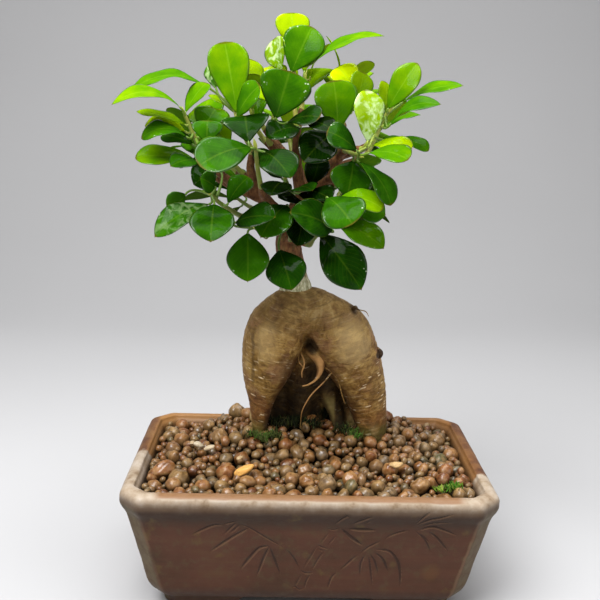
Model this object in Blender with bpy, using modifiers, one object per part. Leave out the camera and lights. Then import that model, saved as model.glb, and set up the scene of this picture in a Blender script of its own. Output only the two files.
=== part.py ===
"""Ginseng ficus in its glazed-rim stoneware pot.

The pot stands on four corner feet and holds a block of potting soil under a bed of fired
clay pellets. The swollen root (caudex) stands in plain holes in both, the grafted trunk and
its branches sit on the root's crown, and each leafy shoot grows on from a branch end.
Lengths are millimetres here and are scaled to metres when a mesh is made. X is to the right
along the pot's front, Y points to the back, Z is up, and the origin is under the middle of
the whole plant, on the surface that the feet stand on.
"""
import math
import random

import bmesh
import bpy
from mathutils import Matrix, Quaternion, Vector, geometry

MM = 0.001
GAP = 0.35
CUT_STEP = 0.02

# Pot: length and depth over the rim, height to the top of the lip
POT_LENGTH = 230.0
POT_DEPTH = 155.0
LIP_TOP = 84.0
FOOT_HEIGHT = 8.0
FLOOR_TOP = 17.0
CENTRING = Vector((2.318, -1.044, 0.0))

# Pot profile, as inset from the rim's widest line, height, and leg of the cut corner
LIP_SECTIONS = [(9.0, 81.5, 9.0), (8.2, 83.4, 9.4), (6.0, LIP_TOP, 10.2), (3.2, 83.4, 11.4),
                (1.0, 81.6, 12.4), (0.0, 78.6, 12.8), (0.1, 75.0, 12.8), (1.2, 72.0, 12.2),
                (3.4, 68.0, 11.2), (5.0, 63.0, 10.4)]
BODY_SECTIONS = [(6.6, 55.5, 10.0), (8.7, 46.0, 10.0), (11.2, 34.5, 10.0), (13.4, 23.0, 10.0),
                 (15.4, 16.0, 9.8), (18.4, 11.0, 9.4), (22.5, FOOT_HEIGHT, 9.0),
                 (23.6, 4.0, 9.0), (24.6, 0.0, 9.0)]
HOLLOW_SECTIONS = [(27.0, FLOOR_TOP, 5.0), (23.0, 20.0, 6.5), (20.5, 30.0, 7.0), (15.4, 60.0, 8.0),
                   (11.4, 77.0, 8.6)]
FOOT_GAP_FRONT = 85.0
FOOT_GAP_SIDE = 40.0
FOOT_LEG = 17.0
APRON_RADIUS = 4.0
DRAIN_X = 46.0
DRAIN_RADIUS = 7.0
DRAIN_SIDES = 16

# Filling: soil under a bed of pellets that rises towards the plant
SOIL_TOP = 65.0
BED_LEVEL = 81.0
BED_RISE = 9.0
BED_RISE_CENTRE = (2.0, 36.0)
BED_RISE_REACH = (58.0, 34.0)
PELLET_PITCH = 15.2
PELLET_SIDES = 5
PELLET_JITTER = 0.20
PELLET_SIZES = (0.75, 1.15)
PELLET_RISE = 3.4
SHOULDER_RISE = 1.1
SHOULDER_REACH = 0.66
HOLLOW_DROP = 3.6
EDGE_BULGE = 0.48
PELLET_SEED = 11
LEG_CLEARANCE = 2.0
LEG_HOLE_SCALE = 1.13

# Swollen root: centre lines of its legs as x, y, z and radius
ROOT_MID_Y = 25.0
ROOT_CROWN_Z = 165.0
LEFT_LEG = [(2, 25, 175, 14), (-12, 25, 173.5, 16.8), (-20.5, 25, 165, 20.8), (-25, 25, 154, 21),
            (-27, 24, 144, 19.6), (-29.5, 24, 132, 17), (-31.6, 25, 120, 13), (-32.4, 26, 110, 9.4),
            (-33, 27, 100, 7), (-33.8, 28, 90, 5.6), (-34.5, 29, 72, 5.2), (-35, 30, 48, 4)]
RIGHT_LEG = [(-10, 25, 174.5, 15), (4, 25, 175, 15), (13, 25, 168, 19), (20.5, 25, 159, 21.4),
             (26.4, 26, 148, 20.8), (31.6, 27, 137, 19.2), (36.4, 28, 126, 16.8), (40, 29, 116, 15),
             (42.4, 30, 105, 13.3), (44.8, 30, 94, 11.4), (46, 31, 80, 9.6), (47, 32, 48, 6)]
BACK_LEG = [(-6, 34, 168, 17), (-9, 42, 152, 18), (-9, 46, 134, 16.5), (-6, 48, 118, 14),
            (-5, 49, 104, 11.5), (-6, 50, 92, 9.5), (-7, 51, 72, 7.5), (-8, 51, 48, 5)]
THIRD_LEG = [(12, 36, 160, 17), (17, 43, 142, 14.5), (15, 44, 126, 10.5), (15.5, 43, 112, 7.4),
             (19.5, 42, 100, 6), (22.5, 42, 90, 5.4), (24.5, 42, 72, 5), (25.5, 43, 48, 4)]
INNER_LEG = [(-14, 42, 146, 14), (-19, 46, 124, 11.5), (-21, 49, 106, 9), (-22, 51, 90, 7.5),
             (-23, 52, 72, 6), (-23.5, 53, 48, 4)]
MIDDLE_LEG = [(4, 42, 146, 14), (5, 48, 124, 11), (6, 51, 106, 8.6), (6.5, 53, 90, 7),
              (7, 53.5, 72, 5.6), (7.5, 54, 48, 4)]
SIDE_LEG = [(-25, 37, 146, 13), (-31, 44, 128, 9), (-35.5, 48, 112, 5.2), (-37.5, 50, 98, 4.6),
            (-38.5, 51, 72, 4.2), (-39, 52, 48, 3.4)]
RIGHT_BACK_LEG = [(20, 40, 150, 14), (27, 45, 130, 11), (30.5, 48, 112, 9), (33, 50, 98, 7.5),
                  (34, 51, 72, 6), (34.5, 52, 48, 4)]
HOOKED_ROOT = [(-3, 27, 150, 4.6), (3, 20, 148, 4.2), (7.4, 18, 142, 3.6), (6.8, 17, 135, 2.6),
               (3.4, 16, 128.5, 1.7), (-2.5, 16, 124.5, 1.2)]
ROOT_VOXEL = 2.0
ROOT_FACES = 1400

# Grafted trunk and branches: centre lines as x, y, z and radius
TRUNK = [(-10.6, 25, 183, 11.2), (-10.8, 25, 191, 10.8), (-12, 24.6, 198, 9.2), (-13.4, 24, 206, 8.6),
         (-16.6, 22, 222, 8.3), (-12.5, 18, 238, 7.3), (-7.4, 15, 250, 6.4), (5, 10, 267, 5.2),
         (15.5, 6, 282, 3.6)]
BRANCHES = {
    "apex": [(-8, 15, 249, 4.2), (-12, 8, 272, 3.4), (-13, 0, 296, 2.2)],
    "crown": [(-12, 8, 271, 3.0), (-23, -5, 279, 2.6), (-29, -11, 287, 1.9)],
    "left": [(-15, 20, 233, 4.8), (-31, 3, 251, 3.8), (-40, -9, 267, 2.9), (-40, -15, 281, 2.1)],
    "far_left": [(-30, 4, 250, 3.4), (-50, -10, 261, 2.9), (-66, -20, 275, 2.2)],
    "front_left": [(-30, 4, 250, 3.0), (-33, -10, 256, 2.4), (-34, -21, 262, 1.9)],
    "inner_left": [(-9, 16, 246, 3.4), (-12, 3, 251, 2.0)],
    "inner_right": [(2, 11, 263, 3.2), (13, 3, 262, 2.0)],
    "inner_low": [(-12, 17, 240, 3.2), (-8, 4, 246, 2.0)],
    "inner_far_left": [(-34, -1, 256, 2.8), (-46, -3, 268, 2.0)],
    "inner_upper_left": [(-21, -3, 277, 2.5), (-32, 2, 288, 1.9)],
    "low_left": [(-16.5, 22, 227, 4.4), (-31, 2, 236, 3.2), (-45, -12, 242, 2.1)],
    "hanging_left": [(-27, 6, 234, 2.8), (-30, -6, 230, 1.8)],
    "hanging_front": [(-16, 22, 224, 3.2), (-15, 6, 226, 2.0)],
    "hanging_right": [(-16, 21, 225, 3.2), (-4, 7, 223, 2.0)],
    "right_front": [(-2, 13, 258, 3.8), (11, -6, 267, 3.0), (16, -20, 268, 2.1)],
    "right_mid": [(15, 7, 281, 3.4), (17, -11, 284, 2.2)],
    "right_top": [(15, 7, 281, 3.6), (27, -11, 285, 2.4)],
    "top": [(15.5, 6.5, 281, 3.2), (15, -1, 289, 2.1)],
    "back_low": [(-14, 19, 235, 4.0), (-10, 34, 246, 3.0), (-8, 42, 250, 2.1)],
    "back_low_left": [(-16, 22, 228, 4.0), (-28, 34, 236, 2.9), (-36, 40, 240, 2.1)],
    "back_low_right": [(-13, 19, 236, 4.0), (4, 34, 240, 2.9), (12, 40, 241, 2.1)],
    "back_left": [(-30, 4, 250, 3.2), (-44, 18, 262, 2.6), (-51, 25, 267, 2.1)],
    "back_mid": [(-5, 14, 253, 3.8), (-12, 32, 274, 2.9), (-15, 38, 281, 2.1)],
    "back_right": [(6, 10, 268, 3.6), (24, 24, 275, 2.8), (30, 28, 278, 2.1)],
    "upper_back_left": [(-11.5, 9, 270, 3.2), (-28, 18, 289, 2.6), (-33, 21, 295, 2.1)],
    "upper_back_right": [(15, 7, 281, 3.4), (17, 19, 295, 2.7), (17, 23, 301, 2.1)],
    "top_back": [(-13, 2, 290, 2.4), (-11, 14, 303, 2.1), (-10, 18, 308, 1.9)],
    "right_side": [(14.5, 7, 281, 3.2), (27, 6, 284, 2.7), (32, 6, 287, 2.1)],
    "left_side": [(-48, -8.5, 260, 2.8), (-57, 0, 262, 2.5), (-62, 4, 264, 2.1)],
}

# Leaf blade: thickness, and where its sections stand between base and tip
BLADE_THICKNESS = 0.8
FLAT_ANGLE = math.radians(0.05)
BLADE_SECTIONS = (0.22, 0.56, 0.86)
BLADE_FOLD = 0.14
MIDRIB_RISE = 0.1
TIP_SHARE = 0.2
STALK_HALF_WIDTH = 0.85
STALK_EDGE = 0.45
STALK_MIDDLE = 0.75
FRONT = Vector((0.0, -0.98, 0.2))
UP = Vector((0.0, 0.0, 1.0))
CROWN_CENTRE = Vector((-16.0, 4.0, 272.0))

# Shoots seen from the front: stem path, then leaves as base, tip, width, turn of the upper
# face away from the front in degrees, and arch as a share of the length
SHOOTS = {
    "shoot_apex": ("apex", [(-15, 3, 317), (-16, 8, 338)], [
        ((-15, 12, 343), (-18, 16, 367), 22, 10, 0.04),
        ((-17, 0, 330), (-5, 4, 358), 27, 5, 0.05),
        ((-23, 6, 331), (-28, 12, 351), 22, -50, 0.05),
        ((-3, 0, 337), (38, -12, 353), 21, 60, 0.10),
        ((-24, 14, 322), (-30, 22, 335), 18, 20, 0.05)]),
    "shoot_crown": ("crown", [(-27, -12, 304), (-27, -10, 312)], [
        ((-26, -17, 302), (-18, -21, 330), 31, 5, 0.06),
        ((-19, -22, 300), (0, -38, 304), 19, 45, 0.08),
        ((-11, -9, 297), (-31, -27, 291), 20, 35, 0.10),
        ((-28, -6, 311), (-41, -10, 319), 14, 50, 0.08)]),
    "shoot_upper_left": ("left", [(-47, -16, 296), (-51, -12, 307)], [
        ((-67, -10, 319.5), (-112, -21, 316), 23, 60, 0.18),
        ((-49, -16, 304), (-57.5, -9, 346.5), 25, 5, 0.04),
        ((-46, 2, 310), (-43, 8, 338), 21, 35, 0.05),
        ((-63, 0, 319), (-66, 4, 336), 17, -50, 0.05),
        ((-49, -18, 302), (-35.5, -28, 321), 20, 40, 0.08),
        ((-41, -39, 288), (-44, -22, 303.5), 28, 0, 0.12)]),
    "shoot_far_left": ("far_left", [(-73, -27, 289), (-79, -30, 303)], [
        ((-81, -34, 307), (-119, -46, 307), 21, 58, 0.22),
        ((-78, -30, 297), (-108, -26, 304), 16, 62, 0.06),
        ((-77, -34, 290), (-103, -40, 289), 21, 55, 0.22),
        ((-79, -24, 293), (-103, -20, 298), 18, 45, 0.12),
        ((-69, -25, 292), (-62, -13, 307), 22, 20, 0.08),
        ((-79, -28, 304), (-67, -22, 322), 18, 45, 0.05),
        ((-72, -24, 276), (-108, -32, 277), 24, 52, 0.08),
        ((-69, -36, 276), (-85, -50, 274), 18, 50, 0.12),
        ((-76, -9, 285), (-97, -3, 290), 18, 50, 0.08),
        ((-65, -44, 287), (-65, -38, 300), 18, 5, 0.05)]),
    "shoot_front_left": ("front_left", [(-36, -30, 274), (-37, -36, 285)], [
        ((-39, -41, 285), (-67, -65, 276), 26, 25, 0.12),
        ((-32, -38, 283), (-16, -58, 269), 24, 25, 0.12)]),
    "shoot_low_left": ("low_left", [(-56, -34, 251), (-63, -42, 258)], [
        ((-63, -44, 252.5), (-93, -60, 235), 20, 35, 0.12),
        ((-60, -48, 253), (-60, -72, 234), 26, 0, 0.10),
        ((-78, -34, 257), (-88, -42, 249), 19, -50, 0.10),
        ((-61, -24, 270), (-74, -29, 262), 20, 20, 0.10),
        ((-53, -36, 252), (-41, -30, 268), 18, 35, 0.08),
        ((-60, -40, 262), (-68, -51, 268), 14, 20, 0.08)]),
    "shoot_hanging_left": ("hanging_left", [(-34, -20, 234), (-37, -32, 238)], [
        ((-41, -34, 235), (-40, -48, 207.5), 25.5, 5, 0.08),
        ((-48, -44, 242), (-24, -58, 247), 24, 48, 0.10)]),
    "shoot_hanging_front": ("hanging_front", [(-16, -8, 236), (-18, -20, 246)], [
        ((-22, -26, 224), (-14, -42, 202), 25, 5, 0.10),
        ((-18, -24, 251), (-33, -46, 234), 26, 20, 0.12)]),
    "shoot_hanging_right": ("hanging_right", [(0, -6, 229), (6, -18, 236)], [
        ((10, -30, 237), (-16, -52, 250), 24, 25, 0.12),
        ((3, -24, 234), (28, -41, 203), 27, 5, 0.08),
        ((13, -18, 240), (41, -34, 227), 24, 42, 0.10)]),
    "shoot_right_front": ("right_front", [(13, -32, 258), (9, -48, 252)], [
        ((5, -56, 259), (18, -78, 247), 26, 15, 0.10),
        ((9, -46, 256), (37, -56, 253), 20, 45, 0.18),
        ((21, -34, 253), (41, -36, 248), 22, 30, 0.10)]),
    "shoot_right_mid": ("right_mid", [(20, -26, 283), (24, -38, 282)], [
        ((21, -29, 279), (17, -40, 258), 26, 10, 0.10),
        ((23, -40, 279), (42, -52, 255), 22, 50, 0.12),
        ((22, -42, 285), (4, -46, 296), 22, 40, 0.08),
        ((28, -46, 284), (49, -62, 282), 22, 50, 0.10),
        ((32, -28, 288), (54, -38, 286), 20, 48, 0.10)]),
    "shoot_upper_right": ("right_top", [(34, -22, 296), (41, -26, 308)], [
        ((28, -39, 290), (27, -37, 320), 22, 28, 0.06),
        ((40, -29, 309), (56, -31, 336), 17, 15, 0.06),
        ((49, -21, 313), (84, -30, 323.5), 18, 60, 0.10),
        ((41, -37, 300.5), (68, -50, 312.5), 17, 58, 0.18),
        ((46, -14, 291), (66, -26, 286), 15, 50, 0.12)]),
    "shoot_top_right": ("top", [(15, -12, 298), (16, -12, 308)], [
        ((12, -18, 296), (8, -24, 325), 26.5, 8, 0.06),
        ((23, -8, 319), (11, -4, 334), 22, 30, 0.06),
        ((20, -12, 307), (27, -8, 331), 18, 35, 0.05),
        ((-7, -28, 301), (8, -42, 296), 17, 40, 0.10),
        ((11, -8, 295), (-9, -26, 277), 25, 15, 0.10)]),
}

# Shoots on the sides and back: stem path, number of leaves, leaf length and seed
RULED_SHOOTS = {
    "shoot_inner_left": ("inner_left", [(-16, -8, 258), (-19, -15, 266)], 4, 28, 853),
    "shoot_inner_right": ("inner_right", [(19, -7, 262), (22, -13, 265)], 3, 27, 417),
    "shoot_inner_low": ("inner_low", [(-6, -4, 250), (-5, -10, 257)], 4, 27, 625),
    "shoot_inner_far_left": ("inner_far_left", [(-54, -4, 276), (-58, -6, 284)], 4, 26, 417),
    "shoot_inner_upper_left": ("inner_upper_left", [(-38, 4, 296), (-41, 4, 304)], 4, 28, 771),
    "shoot_back_low": ("back_low", [(-7, 48, 254), (-6, 52, 261)], 4, 32, 829),
    "shoot_back_low_left": ("back_low_left", [(-44, 44, 243), (-52, 46, 248)], 4, 32, 1032),
    "shoot_back_low_right": ("back_low_right", [(20, 44, 243), (28, 46, 248)], 4, 32, 238),
    "shoot_back_left": ("back_left", [(-60, 32, 274), (-66, 37, 282)], 5, 30, 71),
    "shoot_back_mid": ("back_mid", [(-17, 44, 288), (-19, 48, 296)], 5, 32, 615),
    "shoot_back_right": ("back_right", [(36, 33, 283), (40, 37, 290)], 5, 30, 194),
    "shoot_upper_back_left": ("upper_back_left", [(-38, 28, 304), (-41, 31, 314)], 4, 28, 387),
    "shoot_upper_back_right": ("upper_back_right", [(17, 27, 310), (17, 30, 320)], 5, 30, 23),
    "shoot_top_back": ("top_back", [(-9, 22, 317), (-8, 24, 327)], 4, 29, 557),
    "shoot_right_side": ("right_side", [(37, 6, 292), (40, 6, 299)], 4, 28, 433),
    "shoot_left_side": ("left_side", [(-69, 8, 269), (-75, 11, 276)], 4, 29, 814),
}

COLOURS = {
    "pot": ((0.12, 0.065, 0.045), 0.6),
    "soil": ((0.035, 0.022, 0.014), 0.95),
    "gravel": ((0.20, 0.11, 0.07), 0.45),
    "caudex": ((0.24, 0.15, 0.07), 0.7),
    "trunk": ((0.17, 0.09, 0.055), 0.8),
}
OLD_LEAF = (0.02, 0.11, 0.012)
YOUNG_LEAF = (0.30, 0.52, 0.02)


def clear_scene():
    for thing in list(bpy.data.objects):
        bpy.data.objects.remove(thing)


def collection(name):
    made = bpy.data.collections.new(name)
    bpy.context.scene.collection.children.link(made)
    return made


def finish_material(thing, colour, roughness):
    """Gives a part a plain colour of its own."""
    material = bpy.data.materials.new(thing.name)
    material.use_nodes = True
    shader = material.node_tree.nodes["Principled BSDF"]
    shader.inputs["Base Color"].default_value = (*colour, 1.0)
    shader.inputs["Roughness"].default_value = roughness
    shader.inputs["Metallic"].default_value = 0.0
    thing.data.materials.clear()
    thing.data.materials.append(material)


def mesh_object(name, points, faces, home):
    """An object from points in millimetres, its faces turned outward."""
    mesh = bpy.data.meshes.new(name)
    mesh.from_pydata([(Vector(p) * MM)[:] for p in points], [], faces)
    build = bmesh.new()
    build.from_mesh(mesh)
    bmesh.ops.recalc_face_normals(build, faces=build.faces)
    build.to_mesh(mesh)
    build.free()
    thing = bpy.data.objects.new(name, mesh)
    home.objects.link(thing)
    return thing


def apply_modifiers(thing):
    bpy.context.view_layer.update()
    ready = thing.evaluated_get(bpy.context.evaluated_depsgraph_get())
    mesh = bpy.data.meshes.new_from_object(ready)
    thing.modifiers.clear()
    thing.data = mesh


def boolean(thing, cutter, operation):
    step = thing.modifiers.new(operation.title(), 'BOOLEAN')
    step.operation = operation
    step.solver = 'EXACT'
    step.object = cutter
    apply_modifiers(thing)
    bpy.data.objects.remove(cutter)


def boolean_union_all(thing, others, solver):
    """Joins a node's repeats in one step, then removes their objects."""
    step = thing.modifiers.new("Union", 'BOOLEAN')
    step.operation = 'UNION'
    step.solver = solver
    step.operand_type = 'COLLECTION'
    step.collection = others
    apply_modifiers(thing)
    for other in list(others.objects):
        bpy.data.objects.remove(other)
    bpy.data.collections.remove(others)


def merge_flat_faces(thing):
    """Joins the coplanar pieces that a union leaves."""
    build = bmesh.new()
    build.from_mesh(thing.data)
    bmesh.ops.dissolve_limit(build, angle_limit=FLAT_ANGLE, verts=build.verts, edges=build.edges)
    bmesh.ops.triangulate(build, faces=build.faces)
    build.to_mesh(thing.data)
    build.free()


def loft(name, rings, home):
    """A closed skin over rings of equally many points, capped at both ends."""
    count = len(rings[0])
    faces = [tuple(range(count))]
    for level in range(len(rings) - 1):
        low = level * count
        for i in range(count):
            j = (i + 1) % count
            faces.append((low + i, low + j, low + count + j, low + count + i))
    last = (len(rings) - 1) * count
    faces.append(tuple(range(last + count - 1, last - 1, -1)))
    points = [p for ring in rings for p in ring]
    return mesh_object(name, points, faces, home)


def box(name, low, high, home):
    low, high = Vector(low), Vector(high)
    bpy.ops.mesh.primitive_cube_add(size=1.0, location=(low + high) * 0.5 * MM)
    thing = bpy.context.object
    thing.name = name
    thing.scale = (high - low) * MM
    bpy.ops.object.transform_apply(location=True, rotation=True, scale=True)
    move_to(thing, home)
    return thing


def cylinder(name, radius, low, high, sides, home):
    """A round bar from one point to another."""
    low, high = Vector(low), Vector(high)
    along = high - low
    bpy.ops.mesh.primitive_cylinder_add(vertices=sides, radius=radius * MM,
                                        depth=along.length * MM, location=(low + high) * 0.5 * MM)
    thing = bpy.context.object
    thing.name = name
    thing.rotation_euler = along.to_track_quat('Z', 'Y').to_euler()
    bpy.ops.object.transform_apply(location=True, rotation=True, scale=True)
    move_to(thing, home)
    return thing


def move_to(thing, home):
    for owner in list(thing.users_collection):
        owner.objects.unlink(thing)
    home.objects.link(thing)


def tube(name, path, resolution, home):
    """A tapered round limb along x, y, z, radius points, as a mesh."""
    curve = bpy.data.curves.new(name, 'CURVE')
    curve.dimensions = '3D'
    curve.bevel_depth = MM
    curve.bevel_resolution = resolution
    curve.use_fill_caps = True
    spline = curve.splines.new('POLY')
    spline.points.add(len(path) - 1)
    for point, (x, y, z, radius) in zip(spline.points, path):
        point.co = (x * MM, y * MM, z * MM, 1.0)
        point.radius = radius
    limb = bpy.data.objects.new(name + "_line", curve)
    home.objects.link(limb)
    bpy.context.view_layer.update()
    mesh = bpy.data.meshes.new_from_object(limb.evaluated_get(bpy.context.evaluated_depsgraph_get()))
    build = bmesh.new()
    build.from_mesh(mesh)
    bmesh.ops.remove_doubles(build, verts=build.verts, dist=0.00001)
    bmesh.ops.recalc_face_normals(build, faces=build.faces)
    build.to_mesh(mesh)
    build.free()
    thing = bpy.data.objects.new(name, mesh)
    home.objects.link(thing)
    bpy.data.objects.remove(limb)
    return thing


def pot_ring(inset, height, leg):
    """The pot's plan at one height: a rectangle with its corners cut off."""
    half_x = POT_LENGTH / 2 - inset
    half_y = POT_DEPTH / 2 - inset
    corners = [(half_x - leg, -half_y), (half_x, -half_y + leg), (half_x, half_y - leg),
               (half_x - leg, half_y), (-half_x + leg, half_y), (-half_x, half_y - leg),
               (-half_x, -half_y + leg), (-half_x + leg, -half_y)]
    return [Vector((x, y, height)) for x, y in corners]


def make_pot(home, cutters):
    rings = [pot_ring(*section) for section in HOLLOW_SECTIONS + LIP_SECTIONS + BODY_SECTIONS]
    pot = loft("pot", rings, home)
    far = POT_LENGTH
    below = -5.0
    front = box("apron_front", (-FOOT_GAP_FRONT / 2, -far, below),
                (FOOT_GAP_FRONT / 2, far, FOOT_HEIGHT), cutters)
    round_top_edges(front, 1)
    boolean(pot, front, 'DIFFERENCE')
    side = box("apron_side", (-far, -FOOT_GAP_SIDE / 2, below),
               (far, FOOT_GAP_SIDE / 2, FOOT_HEIGHT - CUT_STEP), cutters)
    round_top_edges(side, 0)
    boolean(pot, side, 'DIFFERENCE')
    reach_x = POT_LENGTH / 2 - BODY_SECTIONS[-1][0] - FOOT_LEG
    reach_y = POT_DEPTH / 2 - BODY_SECTIONS[-1][0] - FOOT_LEG
    middle = box("underside", (-reach_x, -reach_y, below),
                 (reach_x, reach_y, FOOT_HEIGHT - 2 * CUT_STEP), cutters)
    boolean(pot, middle, 'DIFFERENCE')
    for x in (-DRAIN_X, DRAIN_X):
        centre = Vector((x, 0, 0))
        hole = cylinder("drain", DRAIN_RADIUS, centre, centre + UP * (FLOOR_TOP + 4), DRAIN_SIDES, cutters)
        boolean(pot, hole, 'DIFFERENCE')
    finish_material(pot, *COLOURS["pot"])
    return pot


def round_top_edges(thing, axis):
    """Rounds the two upper edges of a box that run along one axis."""
    build = bmesh.new()
    build.from_mesh(thing.data)
    top = max(v.co.z for v in build.verts)
    edges = [e for e in build.edges
             if all(abs(v.co.z - top) < 1e-6 for v in e.verts)
             and abs(e.verts[0].co[axis] - e.verts[1].co[axis]) > 1e-4]
    bmesh.ops.bevel(build, geom=edges, offset=APRON_RADIUS * MM, segments=3, affect='EDGES',
                    profile=0.5)
    build.to_mesh(thing.data)
    build.free()


def bed_height(x, y):
    """Mean level of the pellet bed."""
    across = (x - BED_RISE_CENTRE[0]) / BED_RISE_REACH[0]
    back = (y - BED_RISE_CENTRE[1]) / BED_RISE_REACH[1]
    return BED_LEVEL + BED_RISE * math.exp(-across * across - back * back)


def filling_ring(height):
    """The plan of what fills the pot at one height, clear of the pot's inner wall."""
    lower, upper = HOLLOW_SECTIONS[0], HOLLOW_SECTIONS[-1]
    for below, above in zip(HOLLOW_SECTIONS, HOLLOW_SECTIONS[1:]):
        if below[1] <= height <= above[1]:
            lower, upper = below, above
    share = (height - lower[1]) / (upper[1] - lower[1])
    inset = lower[0] + (upper[0] - lower[0]) * share
    leg = lower[2] + (upper[2] - lower[2]) * share
    return pot_ring(inset + GAP + 0.15, height, leg)


def legs():
    return [LEFT_LEG, RIGHT_LEG, BACK_LEG, THIRD_LEG, INNER_LEG, MIDDLE_LEG, SIDE_LEG, RIGHT_BACK_LEG]


def cut_leg_holes(thing, cutters, top):
    """Plain holes that the legs of the root stand in, wider than the legs all round."""
    for leg in legs():
        path = [(x, y, z, radius * LEG_HOLE_SCALE + LEG_CLEARANCE) for x, y, z, radius in leg
                if z <= top + 20]
        x, y, z, radius = path[-1]
        path[-1] = (x, y, z - 1.0, radius)
        boolean(thing, tube("leg_hole", path, 2, cutters), 'DIFFERENCE')


def make_soil(home, cutters):
    heights = [FLOOR_TOP + GAP, 20.0 + GAP, 30.0, 60.0, SOIL_TOP]
    soil = loft("soil", [filling_ring(height) for height in heights], home)
    cut_leg_holes(soil, cutters, SOIL_TOP)
    finish_material(soil, *COLOURS["soil"])
    return soil


def inside_ring(ring, point, margin):
    """True where a point lies within a convex ring by more than a margin."""
    for a, b in zip(ring, ring[1:] + ring[:1]):
        edge = b - a
        offset = edge.x * (point[1] - a.y) - edge.y * (point[0] - a.x)
        if offset / edge.xy.length < margin:
            return False
    return True


def pellet_centres():
    """A jittered honeycomb of pellet centres, by row and column."""
    rnd = random.Random(PELLET_SEED)
    row_pitch = PELLET_PITCH * math.sqrt(3) / 2
    rows = int(POT_DEPTH / row_pitch / 2) + 1
    columns = int(POT_LENGTH / PELLET_PITCH / 2) + 1
    centres = {}
    for row in range(-rows, rows + 1):
        for column in range(-columns, columns + 1):
            x = (column + 0.5 * (row % 2)) * PELLET_PITCH
            y = row * row_pitch
            jitter = PELLET_JITTER * PELLET_PITCH
            centres[row, column] = (x + rnd.uniform(-jitter, jitter), y + rnd.uniform(-jitter, jitter),
                                    rnd.uniform(*PELLET_SIZES))
    return centres


def bed_points(rim):
    """Tops, shoulders and hollows of the pellets as x, y, z."""
    centres = pellet_centres()
    points = []
    half = PELLET_PITCH / 2
    for (row, column), (x, y, size) in centres.items():
        level = bed_height(x, y)
        if inside_ring(rim, (x, y), half * 0.75):
            points.append((x, y, level + PELLET_RISE * size))
            for k in range(PELLET_SIDES):
                angle = math.radians(360 / PELLET_SIDES * k + 37 * row + 11 * column)
                px = x + half * SHOULDER_REACH * size * math.cos(angle)
                py = y + half * SHOULDER_REACH * size * math.sin(angle)
                if inside_ring(rim, (px, py), 0.8):
                    points.append((px, py, level + SHOULDER_RISE * size))
        shift = row % 2
        for triple in (((row, column), (row, column + 1), (row + 1, column + shift)),
                       ((row, column), (row, column + 1), (row - 1, column + shift))):
            if all(key in centres for key in triple):
                mx = sum(centres[key][0] for key in triple) / 3
                my = sum(centres[key][1] for key in triple) / 3
                if inside_ring(rim, (mx, my), 1.5):
                    points.append((mx, my, bed_height(mx, my) - HOLLOW_DROP))
    return points


def make_gravel(home, cutters):
    """One bed whose top is raised into pellets, larger than life."""
    rim = filling_ring(BED_LEVEL - 3.0)
    foot = filling_ring(SOIL_TOP + GAP)
    points = bed_points(rim)
    edge = []
    for a, b in zip(rim, rim[1:] + rim[:1]):
        steps = max(1, round((b - a).length / PELLET_PITCH))
        outward = Vector((b.y - a.y, a.x - b.x, 0)).normalized() * EDGE_BULGE
        edge += [a.lerp(b, i / steps) + outward * (i / steps) * (1 - i / steps) for i in range(steps)]
    flat = [Vector(p[:2]) for p in points] + [Vector(p[:2]) for p in edge]
    heights = [p[2] for p in points] + [BED_LEVEL - 2.5] * len(edge)
    verts, _, faces, _, _, _ = geometry.delaunay_2d_cdt(flat, [], [], 0, 0.001)
    top = [(v.x, v.y, h) for v, h in zip(verts, heights)]
    first = len(points)
    count = len(edge)
    centre = sum(rim, Vector()) / len(rim)
    low_half = foot[1].x - centre.x
    scale_x = low_half / (rim[1].x - centre.x)
    scale_y = (foot[3].y - centre.y) / (rim[3].y - centre.y)
    low = [(centre.x + (p.x - centre.x) * scale_x, centre.y + (p.y - centre.y) * scale_y,
            SOIL_TOP + GAP) for p in edge]
    faces = [tuple(face) for face in faces]
    base = len(top)
    for i in range(count):
        j = (i + 1) % count
        faces.append((first + i, first + j, base + j, base + i))
    faces.append(tuple(range(base, base + count)))
    gravel = mesh_object("gravel", top + low, faces, home)
    cut_leg_holes(gravel, cutters, BED_LEVEL + BED_RISE)
    finish_material(gravel, *COLOURS["gravel"])
    return gravel


def fatten_crown(mesh):
    """Widens the root from front to back towards its crown."""
    for vertex in mesh.vertices:
        height = vertex.co.z / MM
        share = min(1.0, max(0.0, (height - 140.0) / (ROOT_CROWN_Z - 140.0)))
        middle = ROOT_MID_Y + 6.0
        y = vertex.co.y / MM
        vertex.co.y = (middle + (y - middle) * (1.0 + 0.28 * share)) * MM


def make_caudex(home, cutters):
    """The swollen root: tapered limbs melted into one skin."""
    limbs = [tube("limb", path, 4, cutters) for path in legs()]
    skin = bmesh.new()
    for limb in limbs:
        skin.from_mesh(limb.data)
        bpy.data.objects.remove(limb)
    mesh = bpy.data.meshes.new("caudex")
    skin.to_mesh(mesh)
    skin.free()
    caudex = bpy.data.objects.new("caudex", mesh)
    home.objects.link(caudex)
    melt = caudex.modifiers.new("Melt", 'REMESH')
    melt.mode = 'VOXEL'
    melt.voxel_size = ROOT_VOXEL * MM
    soften = caudex.modifiers.new("Soften", 'SMOOTH')
    soften.factor = 0.5
    soften.iterations = 8
    apply_modifiers(caudex)
    fatten_crown(caudex.data)
    thin = caudex.modifiers.new("Thin", 'DECIMATE')
    thin.ratio = ROOT_FACES / (2.0 * len(caudex.data.polygons))
    thin.use_collapse_triangulate = True
    apply_modifiers(caudex)
    boolean(caudex, tube("hook", HOOKED_ROOT, 1, cutters), 'UNION')
    finish_material(caudex, *COLOURS["caudex"])
    caudex.data.shade_smooth()
    return caudex


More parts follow.
